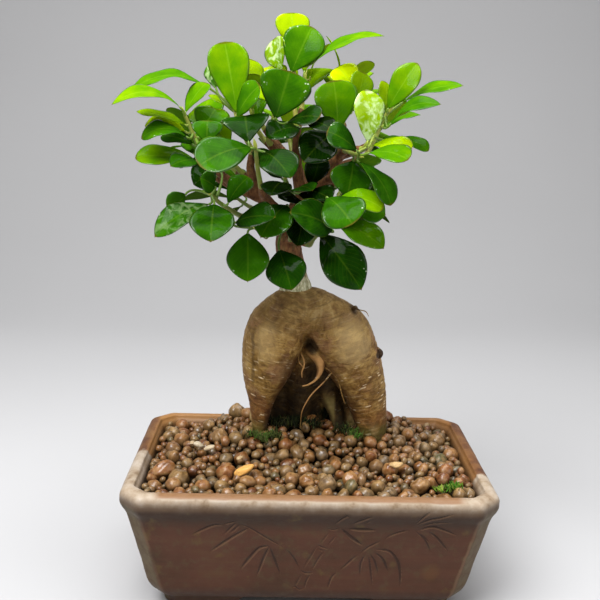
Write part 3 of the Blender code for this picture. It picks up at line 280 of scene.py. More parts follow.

# Shoots seen from the front: branch, stem path, then leaves as base, tip, width, turn of the
# upper face away from the front in degrees, arch as a share of the length, the leaf's tone,
# from 0 dark green to 1 yellow-green, which is how young it is together with painted shade,
# its form, from 0 round-ended to 1 pointed, and how much of it is wet, with painted pale glare
SHOOTS = {
    "shoot_apex": ("apex", [(-15, 3, 317), (-16, 8, 338)], [
        ((-15, 12, 343), (-18, 16, 367), 22, 10, 0.04, 0.78, 0, 0),
        ((-17, 0, 330), (-5, 4, 358), 27, 5, 0.05, 0.34, 0.55, 0),
        ((-23, 6, 331), (-28, 12, 351), 22, -50, 0.05, 0.61, 0.3, 0.9),
        ((-3, 0, 337), (38, -12, 353), 21, 60, 0.10, 0.46, 1, 0),
        ((-24, 14, 322), (-30, 22, 335), 18, 20, 0.05, 0.8, 0, 0)]),
    "shoot_crown": ("crown", [(-27, -12, 304), (-27, -10, 312)], [
        ((-26, -17, 302), (-18, -21, 330), 31, 5, 0.06, 0.28, 0, 0),
        ((-19, -22, 300), (0, -38, 304), 19, 45, 0.08, 0.04, 0, 0),
        ((-11, -9, 297), (-31, -27, 291), 20, 35, 0.10, 0.09, 1, 0),
        ((-28, -6, 311), (-41, -10, 319), 14, 50, 0.08, 0.7, 0, 0)]),
    "shoot_upper_left": ("left", [(-47, -16, 296), (-51, -12, 307)], [
        ((-67, -10, 319.5), (-112, -21, 316), 23, 60, 0.18, 0.4, 1, 0),
        ((-49, -16, 304), (-57.5, -9, 346.5), 25, 5, 0.04, 0.48, 0, 0),
        ((-46, 2, 310), (-43, 8, 338), 21, 35, 0.05, 0.7, 0, 0),
        ((-63, 0, 319), (-66, 4, 336), 17, -50, 0.05, 0.39, 0, 0.5),
        ((-49, -18, 302), (-35.5, -28, 321), 20, 40, 0.08, 0.32, 0, 0),
        ((-41, -39, 288), (-44, -22, 303.5), 28, 0, 0.12, 0.1, 0, 0)]),
    "shoot_far_left": ("far_left", [(-73, -27, 289), (-79, -30, 303)], [
        ((-81, -34, 307), (-119, -46, 307), 21, 58, 0.22, 0.51, 1, 0),
        ((-78, -30, 297), (-108, -26, 304), 16, 62, 0.06, 0.59, 0.8, 0),
        ((-77, -34, 290), (-103, -40, 289), 21, 55, 0.22, 0.31, 0.4, 0),
        ((-79, -24, 293), (-103, -20, 298), 18, 45, 0.12, 0.74, 0, 0),
        ((-69, -25, 292), (-62, -13, 307), 22, 20, 0.08, 0.33, 0, 0),
        ((-79, -28, 304), (-67, -22, 322), 18, 45, 0.05, 0.45, 0, 0),
        ((-72, -24, 276), (-108, -32, 277), 24, 52, 0.08, 0.47, 0.4, 0),
        ((-69, -36, 276), (-85, -50, 274), 18, 50, 0.12, 0.17, 0.9, 0),
        ((-76, -9, 285), (-97, -3, 290), 18, 50, 0.08, 0.15, 1, 0),
        ((-65, -44, 287), (-65, -38, 300), 18, 5, 0.05, 0.25, 0, 0)]),
    "shoot_front_left": ("front_left", [(-36, -30, 274), (-37, -36, 285)], [
        ((-39, -41, 285), (-67, -65, 276), 26, 25, 0.12, 0.22, 0, 0),
        ((-32, -38, 283), (-16, -58, 269), 24, 25, 0.12, 0.08, 1, 0)]),
    "shoot_low_left": ("low_left", [(-56, -34, 251), (-63, -42, 258)], [
        ((-63, -44, 252.5), (-93, -60, 235), 20, 35, 0.12, 0.2, 0.9, 0.12),
        ((-60, -48, 253), (-60, -72, 234), 26, 0, 0.10, 0.18, 0.9, 0),
        ((-78, -34, 257), (-88, -42, 249), 19, -50, 0.10, 0.3, 0.4, 0),
        ((-61, -24, 270), (-74, -29, 262), 20, 20, 0.10, 0.12, 1, 0),
        ((-53, -36, 252), (-41, -30, 268), 18, 35, 0.08, 0.2, 0.4, 0),
        ((-60, -40, 262), (-68, -51, 268), 14, 20, 0.08, 0.21, 1, 0)]),
    "shoot_hanging_left": ("hanging_left", [(-34, -20, 234), (-37, -32, 238)], [
        ((-41, -34, 235), (-40, -48, 207.5), 25.5, 5, 0.08, 0.25, 1, 0),
        ((-48, -44, 242), (-24, -58, 247), 24, 48, 0.10, 0.07, 1, 0)]),
    "shoot_hanging_front": ("hanging_front", [(-16, -8, 236), (-18, -20, 246)], [
        ((-22, -26, 224), (-14, -42, 202), 25, 5, 0.10, 0.14, 1, 0),
        ((-18, -24, 251), (-33, -46, 234), 26, 20, 0.12, 0.24, 1, 0)]),
    "shoot_hanging_right": ("hanging_right", [(0, -6, 229), (6, -18, 236)], [
        ((10, -30, 237), (-16, -52, 250), 24, 25, 0.12, 0.13, 1, 0),
        ((3, -24, 234), (28, -41, 203), 27, 5, 0.08, 0.07, 1, 0),
        ((13, -18, 240), (41, -34, 227), 24, 42, 0.10, 0.41, 0.9, 0)]),
    "shoot_right_front": ("right_front", [(13, -32, 258), (9, -48, 252)], [
        ((5, -56, 259), (18, -78, 247), 26, 15, 0.10, 0.21, 0, 0),
        ((9, -46, 256), (37, -56, 253), 20, 45, 0.18, 0.5, 0, 0),
        ((21, -34, 253), (41, -36, 248), 22, 30, 0.10, 0.26, 1, 0)]),
    "shoot_right_mid": ("right_mid", [(20, -26, 283), (24, -38, 282)], [
        ((21, -29, 279), (17, -40, 258), 26, 10, 0.10, 0.18, 1, 0),
        ((23, -40, 279), (42, -52, 255), 22, 50, 0.12, 0.2, 0.4, 0),
        ((22, -42, 285), (4, -46, 296), 22, 40, 0.08, 0.14, 0, 0),
        ((28, -46, 284), (49, -62, 282), 22, 50, 0.10, 0.4, 0, 0),
        ((32, -28, 288), (54, -38, 286), 20, 48, 0.10, 0.73, 0, 0)]),
    "shoot_upper_right": ("right_top", [(34, -22, 296), (41, -26, 308)], [
        ((28, -39, 290), (27, -37, 320), 22, 28, 0.06, 0.7, 0.5, 0.75),
        ((40, -29, 309), (56, -31, 336), 17, 15, 0.06, 0.49, 0.6, 0),
        ((49, -21, 313), (84, -30, 323.5), 18, 60, 0.10, 0.41, 1, 0),
        ((41, -37, 300.5), (68, -50, 312.5), 17, 58, 0.18, 0.32, 1, 0),
        ((46, -14, 291), (66, -26, 286), 15, 50, 0.12, 0.3, 0.4, 0)]),
    "shoot_top_right": ("top", [(15, -12, 298), (16, -12, 308)], [
        ((12, -18, 296), (8, -24, 325), 26.5, 8, 0.06, 0.42, 0, 0),
        ((23, -8, 319), (11, -4, 334), 22, 30, 0.06, 0.93, 0, 0),
        ((20, -12, 307), (27, -8, 331), 18, 35, 0.05, 0.55, 0, 0),
        ((-7, -28, 301), (8, -42, 296), 17, 40, 0.10, 0.0, 1, 0),
        ((11, -8, 295), (-9, -26, 277), 25, 15, 0.10, 0.0, 1, 0)]),
}

# Shoots on the sides and back: branch, stem path, number of leaves, leaf length and seed
RULED_SHOOTS = {
    "shoot_inner_left": ("inner_left", [(-16, -8, 258), (-19, -15, 266)], 4, 28, 853),
    "shoot_inner_right": ("inner_right", [(19, -7, 262), (22, -13, 265)], 3, 27, 417),
    "shoot_inner_low": ("inner_low", [(-6, -4, 250), (-5, -10, 257)], 4, 27, 625),
    "shoot_inner_far_left": ("inner_far_left", [(-54, -4, 276), (-58, -6, 284)], 4, 26, 417),
    "shoot_inner_upper_left": ("inner_upper_left", [(-38, 4, 296), (-41, 4, 304)], 4, 28, 771),
    "shoot_back_low": ("back_low", [(-7, 48, 254), (-6, 52, 261)], 4, 32, 829),
    "shoot_back_low_left": ("back_low_left", [(-44, 44, 243), (-52, 46, 248)], 4, 32, 1032),
    "shoot_back_low_right": ("back_low_right", [(20, 44, 243), (28, 46, 248)], 4, 32, 238),
    "shoot_back_left": ("back_left", [(-60, 32, 274), (-66, 37, 282)], 5, 30, 71),
    "shoot_back_mid": ("back_mid", [(-17, 44, 288), (-19, 48, 296)], 5, 32, 615),
    "shoot_back_right": ("back_right", [(36, 33, 283), (40, 37, 290)], 5, 30, 194),
    "shoot_upper_back_left": ("upper_back_left", [(-38, 28, 304), (-41, 31, 314)], 4, 28, 387),
    "shoot_upper_back_right": ("upper_back_right", [(17, 27, 310), (17, 30, 320)], 5, 30, 23),
    "shoot_top_back": ("top_back", [(-9, 22, 317), (-8, 24, 327)], 4, 29, 557),
    "shoot_right_side": ("right_side", [(37, 6, 292), (40, 6, 299)], 4, 28, 433),
    "shoot_left_side": ("left_side", [(-69, 8, 269), (-75, 11, 276)], 4, 29, 814),
}
CROWN_CENTRE = Vector((-16.0, 4.0, 272.0))
GAP = 0.35
PLACED_FOLD = 0.14
RULED_FOLD = 0.06
LEAF_STEPS = 20
LEAF_ACROSS = 11
LEAF_MARGIN = 0.05

# Studio: lamps as name, place, target, size and watts, then the sweep behind the floor
LAMPS = [("key", (-420, -560, 1050), (0, 0, 180), 620, 16.5),
         ("top", (60, 20, 1150), (0, 0, 200), 800, 11.0),
         ("fill", (900, -700, 520), (0, 0, 160), 800, 3.0)]
SKY_COLOUR = (1.0, 0.985, 0.96, 1.0)
SKY_STRENGTH = 0.30
SWEEP_FRONT = -2500.0
SWEEP_START = 700.0
SWEEP_RADIUS = 700.0
SWEEP_STEPS = 16
SWEEP_TOP = 3500.0
SWEEP_HALF_WIDTH = 4000.0


# ---------------------------------------------------------------- finishes

def paint(code):
    """Linear colour of a six digit code."""
    parts = [int(code[i:i + 2], 16) / 255 for i in (0, 2, 4)]
    return tuple(p / 12.92 if p <= 0.04045 else ((p + 0.055) / 1.055) ** 2.4 for p in parts) + (1.0,)


class Value:
    """A socket of a finish that can be reckoned with like a number."""

    def __init__(self, finish, socket):
        self.finish = finish
        self.socket = socket

    def maths(self, operation, *terms):
        return self.finish.node("ShaderNodeMath", {"operation": operation}, dict(enumerate(terms)))

    def __add__(self, other):
        return self.maths('ADD', self, other)

    def __radd__(self, other):
        return self.maths('ADD', other, self)

    def __sub__(self, other):
        return self.maths('SUBTRACT', self, other)

    def __rsub__(self, other):
        return self.maths('SUBTRACT', other, self)

    def __mul__(self, other):
        return self.maths('MULTIPLY', self, other)

    def __rmul__(self, other):
        return self.maths('MULTIPLY', other, self)

    def __abs__(self):
        return self.maths('ABSOLUTE', self)


def squares(first, second):
    """The sum of two squares, for a round or oval patch."""
    return first * first + second * second


class Finish:
    """One surface finish, built from nodes round a Principled shader."""

    def __init__(self, name):
        self.material = bpy.data.materials.new(name)
        self.material.use_nodes = True
        self.tree = self.material.node_tree
        self.shader = self.tree.nodes["Principled BSDF"]
        coordinates = self.node("ShaderNodeTexCoord", output="Object")
        self.place = self.scaled(coordinates, 1.0 / MM)
        axes = self.node("ShaderNodeSeparateXYZ", None, {0: self.place})
        outputs = axes.socket.node.outputs
        self.x, self.y, self.z = (Value(self, outputs[i]) for i in range(3))

    def node(self, kind, settings=None, values=None, output=0):
        made = self.tree.nodes.new(kind)
        for name, value in (settings or {}).items():
            if name == "stops":
                self.fill_ramp(made.color_ramp, value)
            else:
                setattr(made, name, value)
        for key, value in (values or {}).items():
            self.feed(made.inputs[key], value)
        return Value(self, made.outputs[output])

    def feed(self, socket, value):
        """Joins a value to a socket, or sets it to a number or a six digit colour."""
        if isinstance(value, Value):
            self.tree.links.new(value.socket, socket)
        else:
            socket.default_value = paint(value) if isinstance(value, str) else value

    def fill_ramp(self, ramp, stops):
        while len(ramp.elements) < len(stops):
            ramp.elements.new(0.5)
        for element, (position, colour) in zip(ramp.elements, stops):
            element.position = position
            element.color = paint(colour) if isinstance(colour, str) else colour

    def set(self, **values):
        """Feeds the shader: base_color=..., coat_weight=... and so on."""
        for name, value in values.items():
            words = name.replace("_", " ").title()
            self.feed(self.shader.inputs[words.replace("Ior", "IOR")], value)

    def scaled(self, vector, factor):
        return self.node("ShaderNodeVectorMath", {"operation": 'SCALE'}, {0: vector, "Scale": factor})

    def stretched(self, vector, factors):
        return self.node("ShaderNodeVectorMath", {"operation": 'MULTIPLY'}, {0: vector, 1: factors})

    def shifted(self, vector, offset):
        return self.node("ShaderNodeVectorMath", {"operation": 'ADD'}, {0: vector, 1: offset})

    def noise(self, size, detail=2.0, rough=0.5, at=None, bend=0.0):
        """Cloudy values round 0.5, with lumps of one size in millimetres."""
        return self.node("ShaderNodeTexNoise", {"noise_dimensions": '3D'},
                         {"Vector": at or self.place, "Scale": 1.0 / size, "Detail": detail,
                          "Roughness": rough, "Distortion": bend})

    def cells(self, size, at=None):
        """Distance to the nearest of scattered points, in cells of one size in millimetres."""
        return self.node("ShaderNodeTexVoronoi", None,
                         {"Vector": at or self.place, "Scale": 1.0 / size}, "Distance")

    def step(self, value, low, high):
        """0 below low, 1 above high and smooth between them."""
        return self.node("ShaderNodeMapRange", {"interpolation_type": 'SMOOTHSTEP'},
                         {"Value": value, "From Min": low, "From Max": high})

    def spread(self, value, low, high, bottom, top):
        """Bottom below low, top above high and straight between them."""
        return self.node("ShaderNodeMapRange", None,
                         {"Value": value, "From Min": low, "From Max": high,
                          "To Min": bottom, "To Max": top})

    def ramp(self, value, *stops):
        return self.node("ShaderNodeValToRGB", {"stops": stops}, {0: value})

    def mix(self, share, first, second):
        return self.node("ShaderNodeMix", {"data_type": 'RGBA'}, {0: share, 6: first, 7: second}, 2)

    def mark(self, name):
        """A value stored on the points of the piece."""
        return self.node("ShaderNodeAttribute", {"attribute_name": name}, None, "Fac")

    def bump(self, height, depth, strength):
        """Relief of a depth in millimetres, for the shader's normal."""
        return self.node("ShaderNodeBump", None,
                         {"Height": height, "Distance": depth * MM, "Strength": strength})

    def drifted(self, seed, factors):
        """The place, moved by a piece's own seed so that no two pieces share one pattern."""
        offset = self.node("ShaderNodeCombineXYZ", None, {i: seed * n for i, n in enumerate(factors)})
        return self.shifted(self.place, offset)


# ---------------------------------------------------------------- mesh tools

class Skin:
    """Points and faces of one piece, with values stored on the points."""

    def __init__(self, *marks):
        self.points = []
        self.faces = []
        self.slots = []
        self.marks = {name: [] for name in marks}

    def add(self, points, faces, slot=0, **marks):
        first = len(self.points)
        self.points += [tuple(p) for p in points]
        self.faces += [tuple(i + first for i in face) for face in faces]
        self.slots += [slot] * len(faces)
        for name, stored in self.marks.items():
            value = marks.get(name, 0.0)
            stored += list(value) if hasattr(value, "__len__") else [value] * len(points)


def piece(name, skin, *finishes):
    """An object of a skin in millimetres, moved from the plant's frame to the model's."""
    mesh = bpy.data.meshes.new(name)
    points = (np.array(skin.points) + np.array(CENTRING)) * MM
    mesh.from_pydata(points.tolist(), [], skin.faces)
    for finish in finishes:
        mesh.materials.append(finish.material)
    mesh.polygons.foreach_set("material_index", skin.slots)
    mesh.polygons.foreach_set("use_smooth", [True] * len(skin.faces))
    for mark, stored in skin.marks.items():
        mesh.attributes.new(mark, 'FLOAT', 'POINT').data.foreach_set("value", stored)
    mesh.update()
    made = bpy.data.objects.new(name, mesh)
    bpy.context.scene.collection.objects.link(made)
    return made


def declare(made, slot, *nodes):
    """Says what a piece rides on, and the nodes it replaces if it replaces any. Its slot is not used.
    """
    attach(made, "root")
    if nodes:
        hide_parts(*nodes)


def apply_modifiers(made):
    bpy.context.view_layer.update()
    ready = made.evaluated_get(bpy.context.evaluated_depsgraph_get())
    mesh = bpy.data.meshes.new_from_object(ready)
    made.modifiers.clear()
    made.data = mesh


def join_solids(made, other, operation):
    """Adds one closed solid to another, or cuts it away."""
    step = made.modifiers.new(operation.title(), 'BOOLEAN')
    step.operation = operation
    step.solver = 'MANIFOLD'
    step.object = other
    apply_modifiers(made)
    bpy.data.objects.remove(other)


def with_ends(knots):
    """Knots with one more at each end, in line with the last two."""
    return [2 * knots[0] - knots[1]] + knots + [2 * knots[-1] - knots[-2]]


def curve_point(a, b, c, d, t):
    """A point of the smooth curve from knot b to knot c."""
    return 0.5 * (2 * b + (c - a) * t + (2 * a - 5 * b + 4 * c - d) * t * t
                  + (3 * b - a - 3 * c + d) * t ** 3)


def bent(start, corner, end, t):
    """A point of the bend from start to end that turns toward a corner."""
    return start * (1 - t) ** 2 + corner * 2 * t * (1 - t) + end * t * t


def smooth_path(path, step):
    """A curve through points of any length of numbers, with a point every so many millimetres."""
    knots = with_ends([np.array(p, dtype=float) for p in path])
    line = []
    for a, b, c, d in zip(knots, knots[1:], knots[2:], knots[3:]):
        count = max(1, int(round(np.linalg.norm((c - b)[:3]) / step)))
        for i in range(count):
            line.append(curve_point(a, b, c, d, i / count))
    line.append(knots[-2])
    return line


def tube_skin(skin, path, sides, slot=0, **marks):
    """A closed round limb along x, y, z, radius points."""
    points = [Vector(p[:3]) for p in path]
    radii = [float(p[3]) for p in path]
    along = (points[1] - points[0]).normalized()
    side = along.orthogonal().normalized()
    rings = []
    for i, point in enumerate(points):
        before = points[max(0, i - 1)]
        after = points[min(len(points) - 1, i + 1)]
        way = (after - before).normalized()
        side = along.rotation_difference(way) @ side
        side = (side - way * side.dot(way)).normalized()
        along = way
        other = way.cross(side)
        rings.append([point + (side * math.cos(2 * math.pi * k / sides)
                               + other * math.sin(2 * math.pi * k / sides)) * radii[i]
                      for k in range(sides)])
    add_loft(skin, rings, slot, **marks)


def add_loft(skin, rings, slot=0, **marks):
    """A closed skin over rings of equally many points, turned outward for rings that run along
    their own right-hand axis."""
    count = len(rings[0])
    faces = [tuple(range(count - 1, -1, -1))]
    for level in range(len(rings) - 1):
        low = level * count
        for i in range(count):
            j = (i + 1) % count
            faces.append((low + i, low + j, low + count + j, low + count + i))
    last = (len(rings) - 1) * count
    faces.append(tuple(range(last, last + count)))
    skin.add([p for ring in rings for p in ring], faces, slot, **marks)


def melt(name, skin, voxel, rounds):
    """Limbs melted into one skin, as a mesh in millimetres."""
    made = piece(name, skin)
    step = made.modifiers.new("Melt", 'REMESH')
    step.mode = 'VOXEL'
    step.voxel_size = voxel * MM
    soften = made.modifiers.new("Soften", 'SMOOTH')
    soften.factor = 0.5
    soften.iterations = rounds
    apply_modifiers(made)
    return made


def read_points(mesh):
    """A mesh's points in millimetres, in the plant's own frame."""
    flat = np.empty(len(mesh.vertices) * 3)
    mesh.vertices.foreach_get("co", flat)
    return flat.reshape(-1, 3) / MM - np.array(CENTRING)


def write_points(mesh, points):
    mesh.vertices.foreach_set("co", ((points + np.array(CENTRING)) * MM).ravel())
    mesh.update()


def read_normals(mesh):
    flat = np.empty(len(mesh.vertices) * 3)
    mesh.vertices.foreach_get("normal", flat)
    return flat.reshape(-1, 3)


def store_mark(mesh, name, values):
    stored = mesh.attributes.new(name, 'FLOAT', 'POINT').data
    stored.foreach_set("value", np.asarray(values, dtype=float))


def coat(made, finish):
    """Gives a whole mesh one finish."""
    made.data.materials.clear()
    made.data.materials.append(finish.material)
    shade_smooth(made)


def shade_smooth(made):
    made.data.polygons.foreach_set("use_smooth", [True] * len(made.data.polygons))
    made.data.update()


def round_bump(points, centre, reach):
    """1 at a centre, falling to 0 over a reach."""
    gap = np.linalg.norm((points - np.array(centre)) / np.array(reach), axis=1)
    return np.clip(1 - gap * gap, 0, None) ** 2


# ---------------------------------------------------------------- pot

def pot_sections():
    """The profile as inset, height and corner leg, close together where the wall shows."""
    knots = [np.array(s, dtype=float) for s in HOLLOW_SECTIONS + LIP_SECTIONS + BODY_SECTIONS]
    ends = with_ends(knots)
    sections = []
    for number, (a, b, c, d) in enumerate(zip(ends, ends[1:], ends[2:], ends[3:])):
        rise = np.linalg.norm((c - b)[:2])
        inner = number < len(HOLLOW_SECTIONS) - 1
        low = b[1] <= FOOT_HEIGHT + 0.1
        pitch = 7.0 if inner else (2.0 if low else (0.62 if b[1] < 77 and number > 8 else 0.8))
        count = max(1, int(round(rise / pitch)))
        sharp = inner or low
        for i in range(count):
            t = i / count
            sections.append(b + (c - b) * t if sharp else curve_point(a, b, c, d, t))
    sections.append(knots[-1])
    return sections


def plan_ring(inset, height, leg):
    """The pot's plan at one height: a rectangle with its corners cut off, edges softened."""
    half_x = POT_LENGTH / 2 - max(0.05, inset)
    half_y = POT_DEPTH / 2 - max(0.05, inset)
    corners = [(-half_x + leg, -half_y), (half_x - leg, -half_y), (half_x, -half_y + leg),
               (half_x, half_y - leg), (half_x - leg, half_y), (-half_x + leg, half_y),
               (-half_x, half_y - leg), (-half_x, -half_y + leg)]
    corners = [Vector(c) for c in corners]
    front, cut, side, back = WALL_STEPS
    steps = [front, cut, side, cut, back, cut, side, cut]
    ring = []
    for k, corner in enumerate(corners):
        after = corners[(k + 1) % 8]
        before = corners[k - 1]
        follow = (after - corner).normalized()
        arrive = (corner - before).normalized()
        start = corner - arrive * CORNER_SOFT
        end = corner + follow * CORNER_SOFT
        for i in range(1, 5):
            ring.append(bent(start, corner, end, i / 5))
        stop = after - follow * CORNER_SOFT
        for i in range(steps[k]):
            ring.append(end.lerp(stop, i / (steps[k] - 1)))
    return [Vector((p.x, p.y, height)) for p in ring]


def gouge_depth(points):
    """How deep the bamboo is cut at each point of the front wall."""
    depth = np.zeros(len(points))
    near_y, low, high = GOUGE_ZONE
    front = np.nonzero((points[:, 1] < near_y) & (points[:, 2] > low) & (points[:, 2] < high))[0]
    at = points[front][:, [0, 2]]
    cut = np.zeros(len(front))
    for width, course in BAMBOO:
        line = np.array(smooth_path([(x, z, 0) for x, z in course], 0.4))[:, :2]
        share = np.linspace(0, 1, len(line))
        reach = width / 2 * np.clip(np.sin(np.pi * share), 0.12, 1) ** 0.45
        near = np.nonzero(((at > line.min(axis=0) - 2) & (at < line.max(axis=0) + 2)).all(axis=1))[0]
        gap = np.linalg.norm(at[near][:, None, :] - line[None, :, :], axis=2) / reach[None, :]
        best = gap.argmin(axis=1)
        profile = np.clip(1 - gap.min(axis=1) ** 2, 0, 1) ** 0.8
        deepest = np.minimum(GOUGE_DEEPEST, GOUGE_DEPTH * 2 * reach[best] + 0.12)
        cut[near] = np.maximum(cut[near], profile * deepest)
    depth[front] = cut
    return depth


def foot_cutter(name, low, high, radius, axis):
    """A box whose two upper edges that run along one axis are rounded."""
    bpy.ops.mesh.primitive_cube_add(size=1.0, location=(Vector(low) + Vector(high)) * 0.5 * MM)
    made = bpy.context.object
    made.name = name
    made.scale = (Vector(high) - Vector(low)) * MM
    bpy.ops.object.transform_apply(location=True, rotation=True, scale=True)
    if radius:
        build = bmesh.new()
        build.from_mesh(made.data)
        top = max(v.co.z for v in build.verts)
        edges = [e for e in build.edges if all(abs(v.co.z - top) < 1e-6 for v in e.verts)
                 and abs(e.verts[0].co[axis] - e.verts[1].co[axis]) > 1e-4]
        bmesh.ops.bevel(build, geom=edges, offset=radius * MM, segments=6, affect='EDGES', profile=0.5)
        build.to_mesh(made.data)
        build.free()
    made.data.transform(Matrix.Translation(CENTRING * MM))
    return made


def make_pot(finish):
    """The pot with its softened corners, cut bamboo, foot gaps and drain holes."""
    skin = Skin()
    rings = [plan_ring(*section) for section in pot_sections()]
    add_loft(skin, rings)
    pot = piece("pot_body", skin, finish)
    build = bmesh.new()
    build.from_mesh(pot.data)
    bmesh.ops.recalc_face_normals(build, faces=build.faces)
    build.to_mesh(pot.data)
    build.free()
    points = read_points(pot.data)
    depth = gouge_depth(points)
    sag = [noise.noise((p[0] * 0.03, p[1] * 0.03, p[2] * 0.05)) for p in points]
    normals = read_normals(pot.data)
    wall = ((points[:, 2] > 20) & (points[:, 2] < 83)).astype(float)
    points = points - normals * (np.abs(np.array(sag)) * 0.35 * wall)[:, None]
    points[:, 1] += depth
    write_points(pot.data, points)
    far = POT_LENGTH
    reach_x = POT_LENGTH / 2 - BODY_SECTIONS[-1][0] - FOOT_LEG
    reach_y = POT_DEPTH / 2 - BODY_SECTIONS[-1][0] - FOOT_LEG
    for name, half_x, half_y, top, radius, axis in (
            ("cut_front", FOOT_GAP_FRONT / 2, far, FOOT_HEIGHT, 4.0, 1),
            ("cut_side", far, FOOT_GAP_SIDE / 2, FOOT_HEIGHT - 0.02, 4.0, 0),
            ("cut_under", reach_x, reach_y, FOOT_HEIGHT - 0.04, 0, 0)):
        cutter = foot_cutter(name, (-half_x, -half_y, -5), (half_x, half_y, top), radius, axis)
        join_solids(pot, cutter, 'DIFFERENCE')
    for x in (-DRAIN_X, DRAIN_X):
        hole = Skin()
        tube_skin(hole, [(x, 0, 2, DRAIN_RADIUS), (x, 0, 21, DRAIN_RADIUS)], 40)
        join_solids(pot, piece("cut_drain", hole), 'DIFFERENCE')
    points = read_points(pot.data)
    own = gouge_depth(points - np.array([0, 0.4, 0]))
    store_mark(pot.data, "gouge", own)
    # Painted highlight: the lower edge of each groove, where it catches the light, is marked for a
    # paler colour
    beside = gouge_depth(points + np.array([-0.35, -0.4, 0.75]))
    store_mark(pot.data, "burr", np.clip(beside - own, 0, 1))
    shade_smooth(pot)
    declare(pot, "pot", "pot")


def pot_finish():
    f = Finish("stoneware")
    f.set(specular_ior_level=0.28, coat_weight=0.08, coat_roughness=0.35)
    cloud = f.noise(38, 4, 0.55)
    mottle = f.noise(6, 5, 0.6)
    grain = f.noise(0.9, 3, 0.6)
    wipe = f.noise(9, 4, 0.6, at=f.stretched(f.place, (0.12, 0.12, 1.6)))
    body = f.ramp(cloud * 0.55 + wipe * 0.45,
                  (0.30, "341f0a"), (0.44, "442611"), (0.56, "4c2916"),
                  (0.70, "50331a"))
    body = f.mix(f.step(mottle, 0.5, 0.7) * 0.4, body, "4a3d20")
    body = f.mix(f.step(grain, 0.55, 0.75) * 0.2, body, "654527")
    low = f.step(f.z + mottle * 6 - 3, 20, 12)
    body = f.mix(low * 0.5, body, "33200f")
    # Painted shade: the body darkens just under the overhanging lip
    under_lip_shade = f.step(f.z + mottle * 4 - 2, 58, 70)
    body = f.mix(under_lip_shade * 0.75, body, "2c1c0b")
    across = abs(f.x - 2.0)
    corner = f.step(across - f.z * 0.215 + (mottle - 0.5) * 3, 86.0, 88.5)
    corner = corner * f.step(abs(f.y) - f.z * 0.215 + (mottle - 0.5) * 3, 42.5, 45.0)
    body = f.mix(corner * f.spread(mottle, 0.3, 0.65, 0.35, 0.9), body, "54441f")
    rubbed = f.step(abs(across - f.z * 0.215 - 86.2 + (mottle - 0.5) * 2), 1.6, 0.3)
    rubbed = rubbed * f.step(f.z, 76, 66) * f.spread(cloud, 0.35, 0.65, 0.05, 0.5)
    body = f.mix(rubbed, body, "85694c")
    ochre = f.step(squares(across - 75, f.z - 33) + mottle * 90, 100, 44)
    body = f.mix(ochre * f.step(f.x, 20, 30) * f.step(f.y, -40, -50) * 0.14, body, "7a581a")
    stain = f.step(f.noise(14, 3, 0.6, at=f.shifted(f.place, (31, 7, 3))), 0.6, 0.72)
    body = f.mix(stain * 0.5, body, "57441c")
    cream = f.ramp(f.noise(13, 5, 0.62), (0.34, "836c52"), (0.44, "a4917b"),
                   (0.55, "b2a28f"), (0.68, "c0b3a5"))
    rust = f.ramp(f.noise(11, 4, 0.6), (0.35, "54301a"), (0.5, "704724"),
                  (0.66, "855f34"))
    edge = f.noise(13, 4, 0.65)
    forward = f.step(0 - f.y + (edge - 0.5) * 22 - f.x * 0.14, 16, 22)
    inward = f.step(f.z + (edge - 0.5) * 2.4, 81.8, 82.9) * f.step(92 - across, -2, 5)
    inward = inward * f.step(0 - f.y, 60, 66)
    rust = f.mix(f.step(0 - f.x, 105, 109) * 0.35, rust, "41240f")
    rust = f.mix(f.step(across, 108.5, 105.5) * f.spread(f.x, -20, 20, 0.85, 0.55), rust, "a57744")
    lip = f.mix(forward, rust, cream)
    lip = f.mix(inward * 0.85, lip, "84592f")
    # Painted shade: the lip darkens toward its lower, downward-turned part
    lip = f.mix(f.step(f.z + (mottle - 0.5) * 2, 83.0, 76.0) * 0.9, lip, "46301c")
    on_lip = f.step(f.z + (mottle - 0.5) * 2.0, 72.5, 77.5)
    colour = f.mix(on_lip, body, lip)
    # The cut grooves are darkened, for dirt in them and for painted shade
    gouge = f.step(f.mark("gouge"), 0.05, 0.5)
    colour = f.mix(gouge * 0.5, colour, "160d07")
    # Painted highlight on the lower edge of each groove
    colour = f.mix(f.step(f.mark("burr"), 0.06, 0.5) * 0.3, colour, "806048")
    f.set(base_color=colour)
    f.set(roughness=f.spread(mottle + on_lip * 0.25, 0.3, 1.0, 0.62, 0.38))
    f.set(normal=f.bump(grain * 0.5 + f.noise(3.2, 3, 0.5) * 0.5, 0.35, 0.5))
    return f


# ---------------------------------------------------------------- filling

def eased(value):
    """0 below 0, 1 above 1 and smooth between them."""
    value = min(1.0, max(0.0, value))
    return value * value * (3 - 2 * value)


def heap_height(x, y):
    """Where the tops of the pellets lie: heaped round the plant and toward the back rim."""
    from_ends = eased((HEAP_HALF_LENGTH - abs(x - HEAP_MIDDLE_X)) / HEAP_END_SLOPE)
    return HEAP_LOW + HEAP_RISE * from_ends * eased((y - HEAP_FRONT_Y) / HEAP_FRONT_SLOPE)


def wall_room(x, y, z):
    """Distance from a point to the pot's inner wall at its height."""
    lower, upper = HOLLOW_SECTIONS[-2], HOLLOW_SECTIONS[-1]
    share = min(1.0, max(0.0, (z - lower[1]) / (upper[1] - lower[1])))
    inset = lower[0] + (upper[0] - lower[0]) * share
    leg = lower[2] + (upper[2] - lower[2]) * share
    gap_x = POT_LENGTH / 2 - inset - abs(x)
    gap_y = POT_DEPTH / 2 - inset - abs(y)
    return min(gap_x, gap_y, (gap_x + gap_y - leg) / math.sqrt(2))


def leg_room(x, y, z):
    """Distance from a point to the nearest leg of the root."""
    room = 1e9
    for leg in LEGS:
        for a, b in zip(leg, leg[1:]):
            if b[2] <= z <= a[2]:
                t = (a[2] - z) / (a[2] - b[2])
                cx, cy, radius = (a[i] + (b[i] - a[i]) * t for i in (0, 1, 3))
                room = min(room, math.hypot(x - cx, y - cy) - radius)
    return room


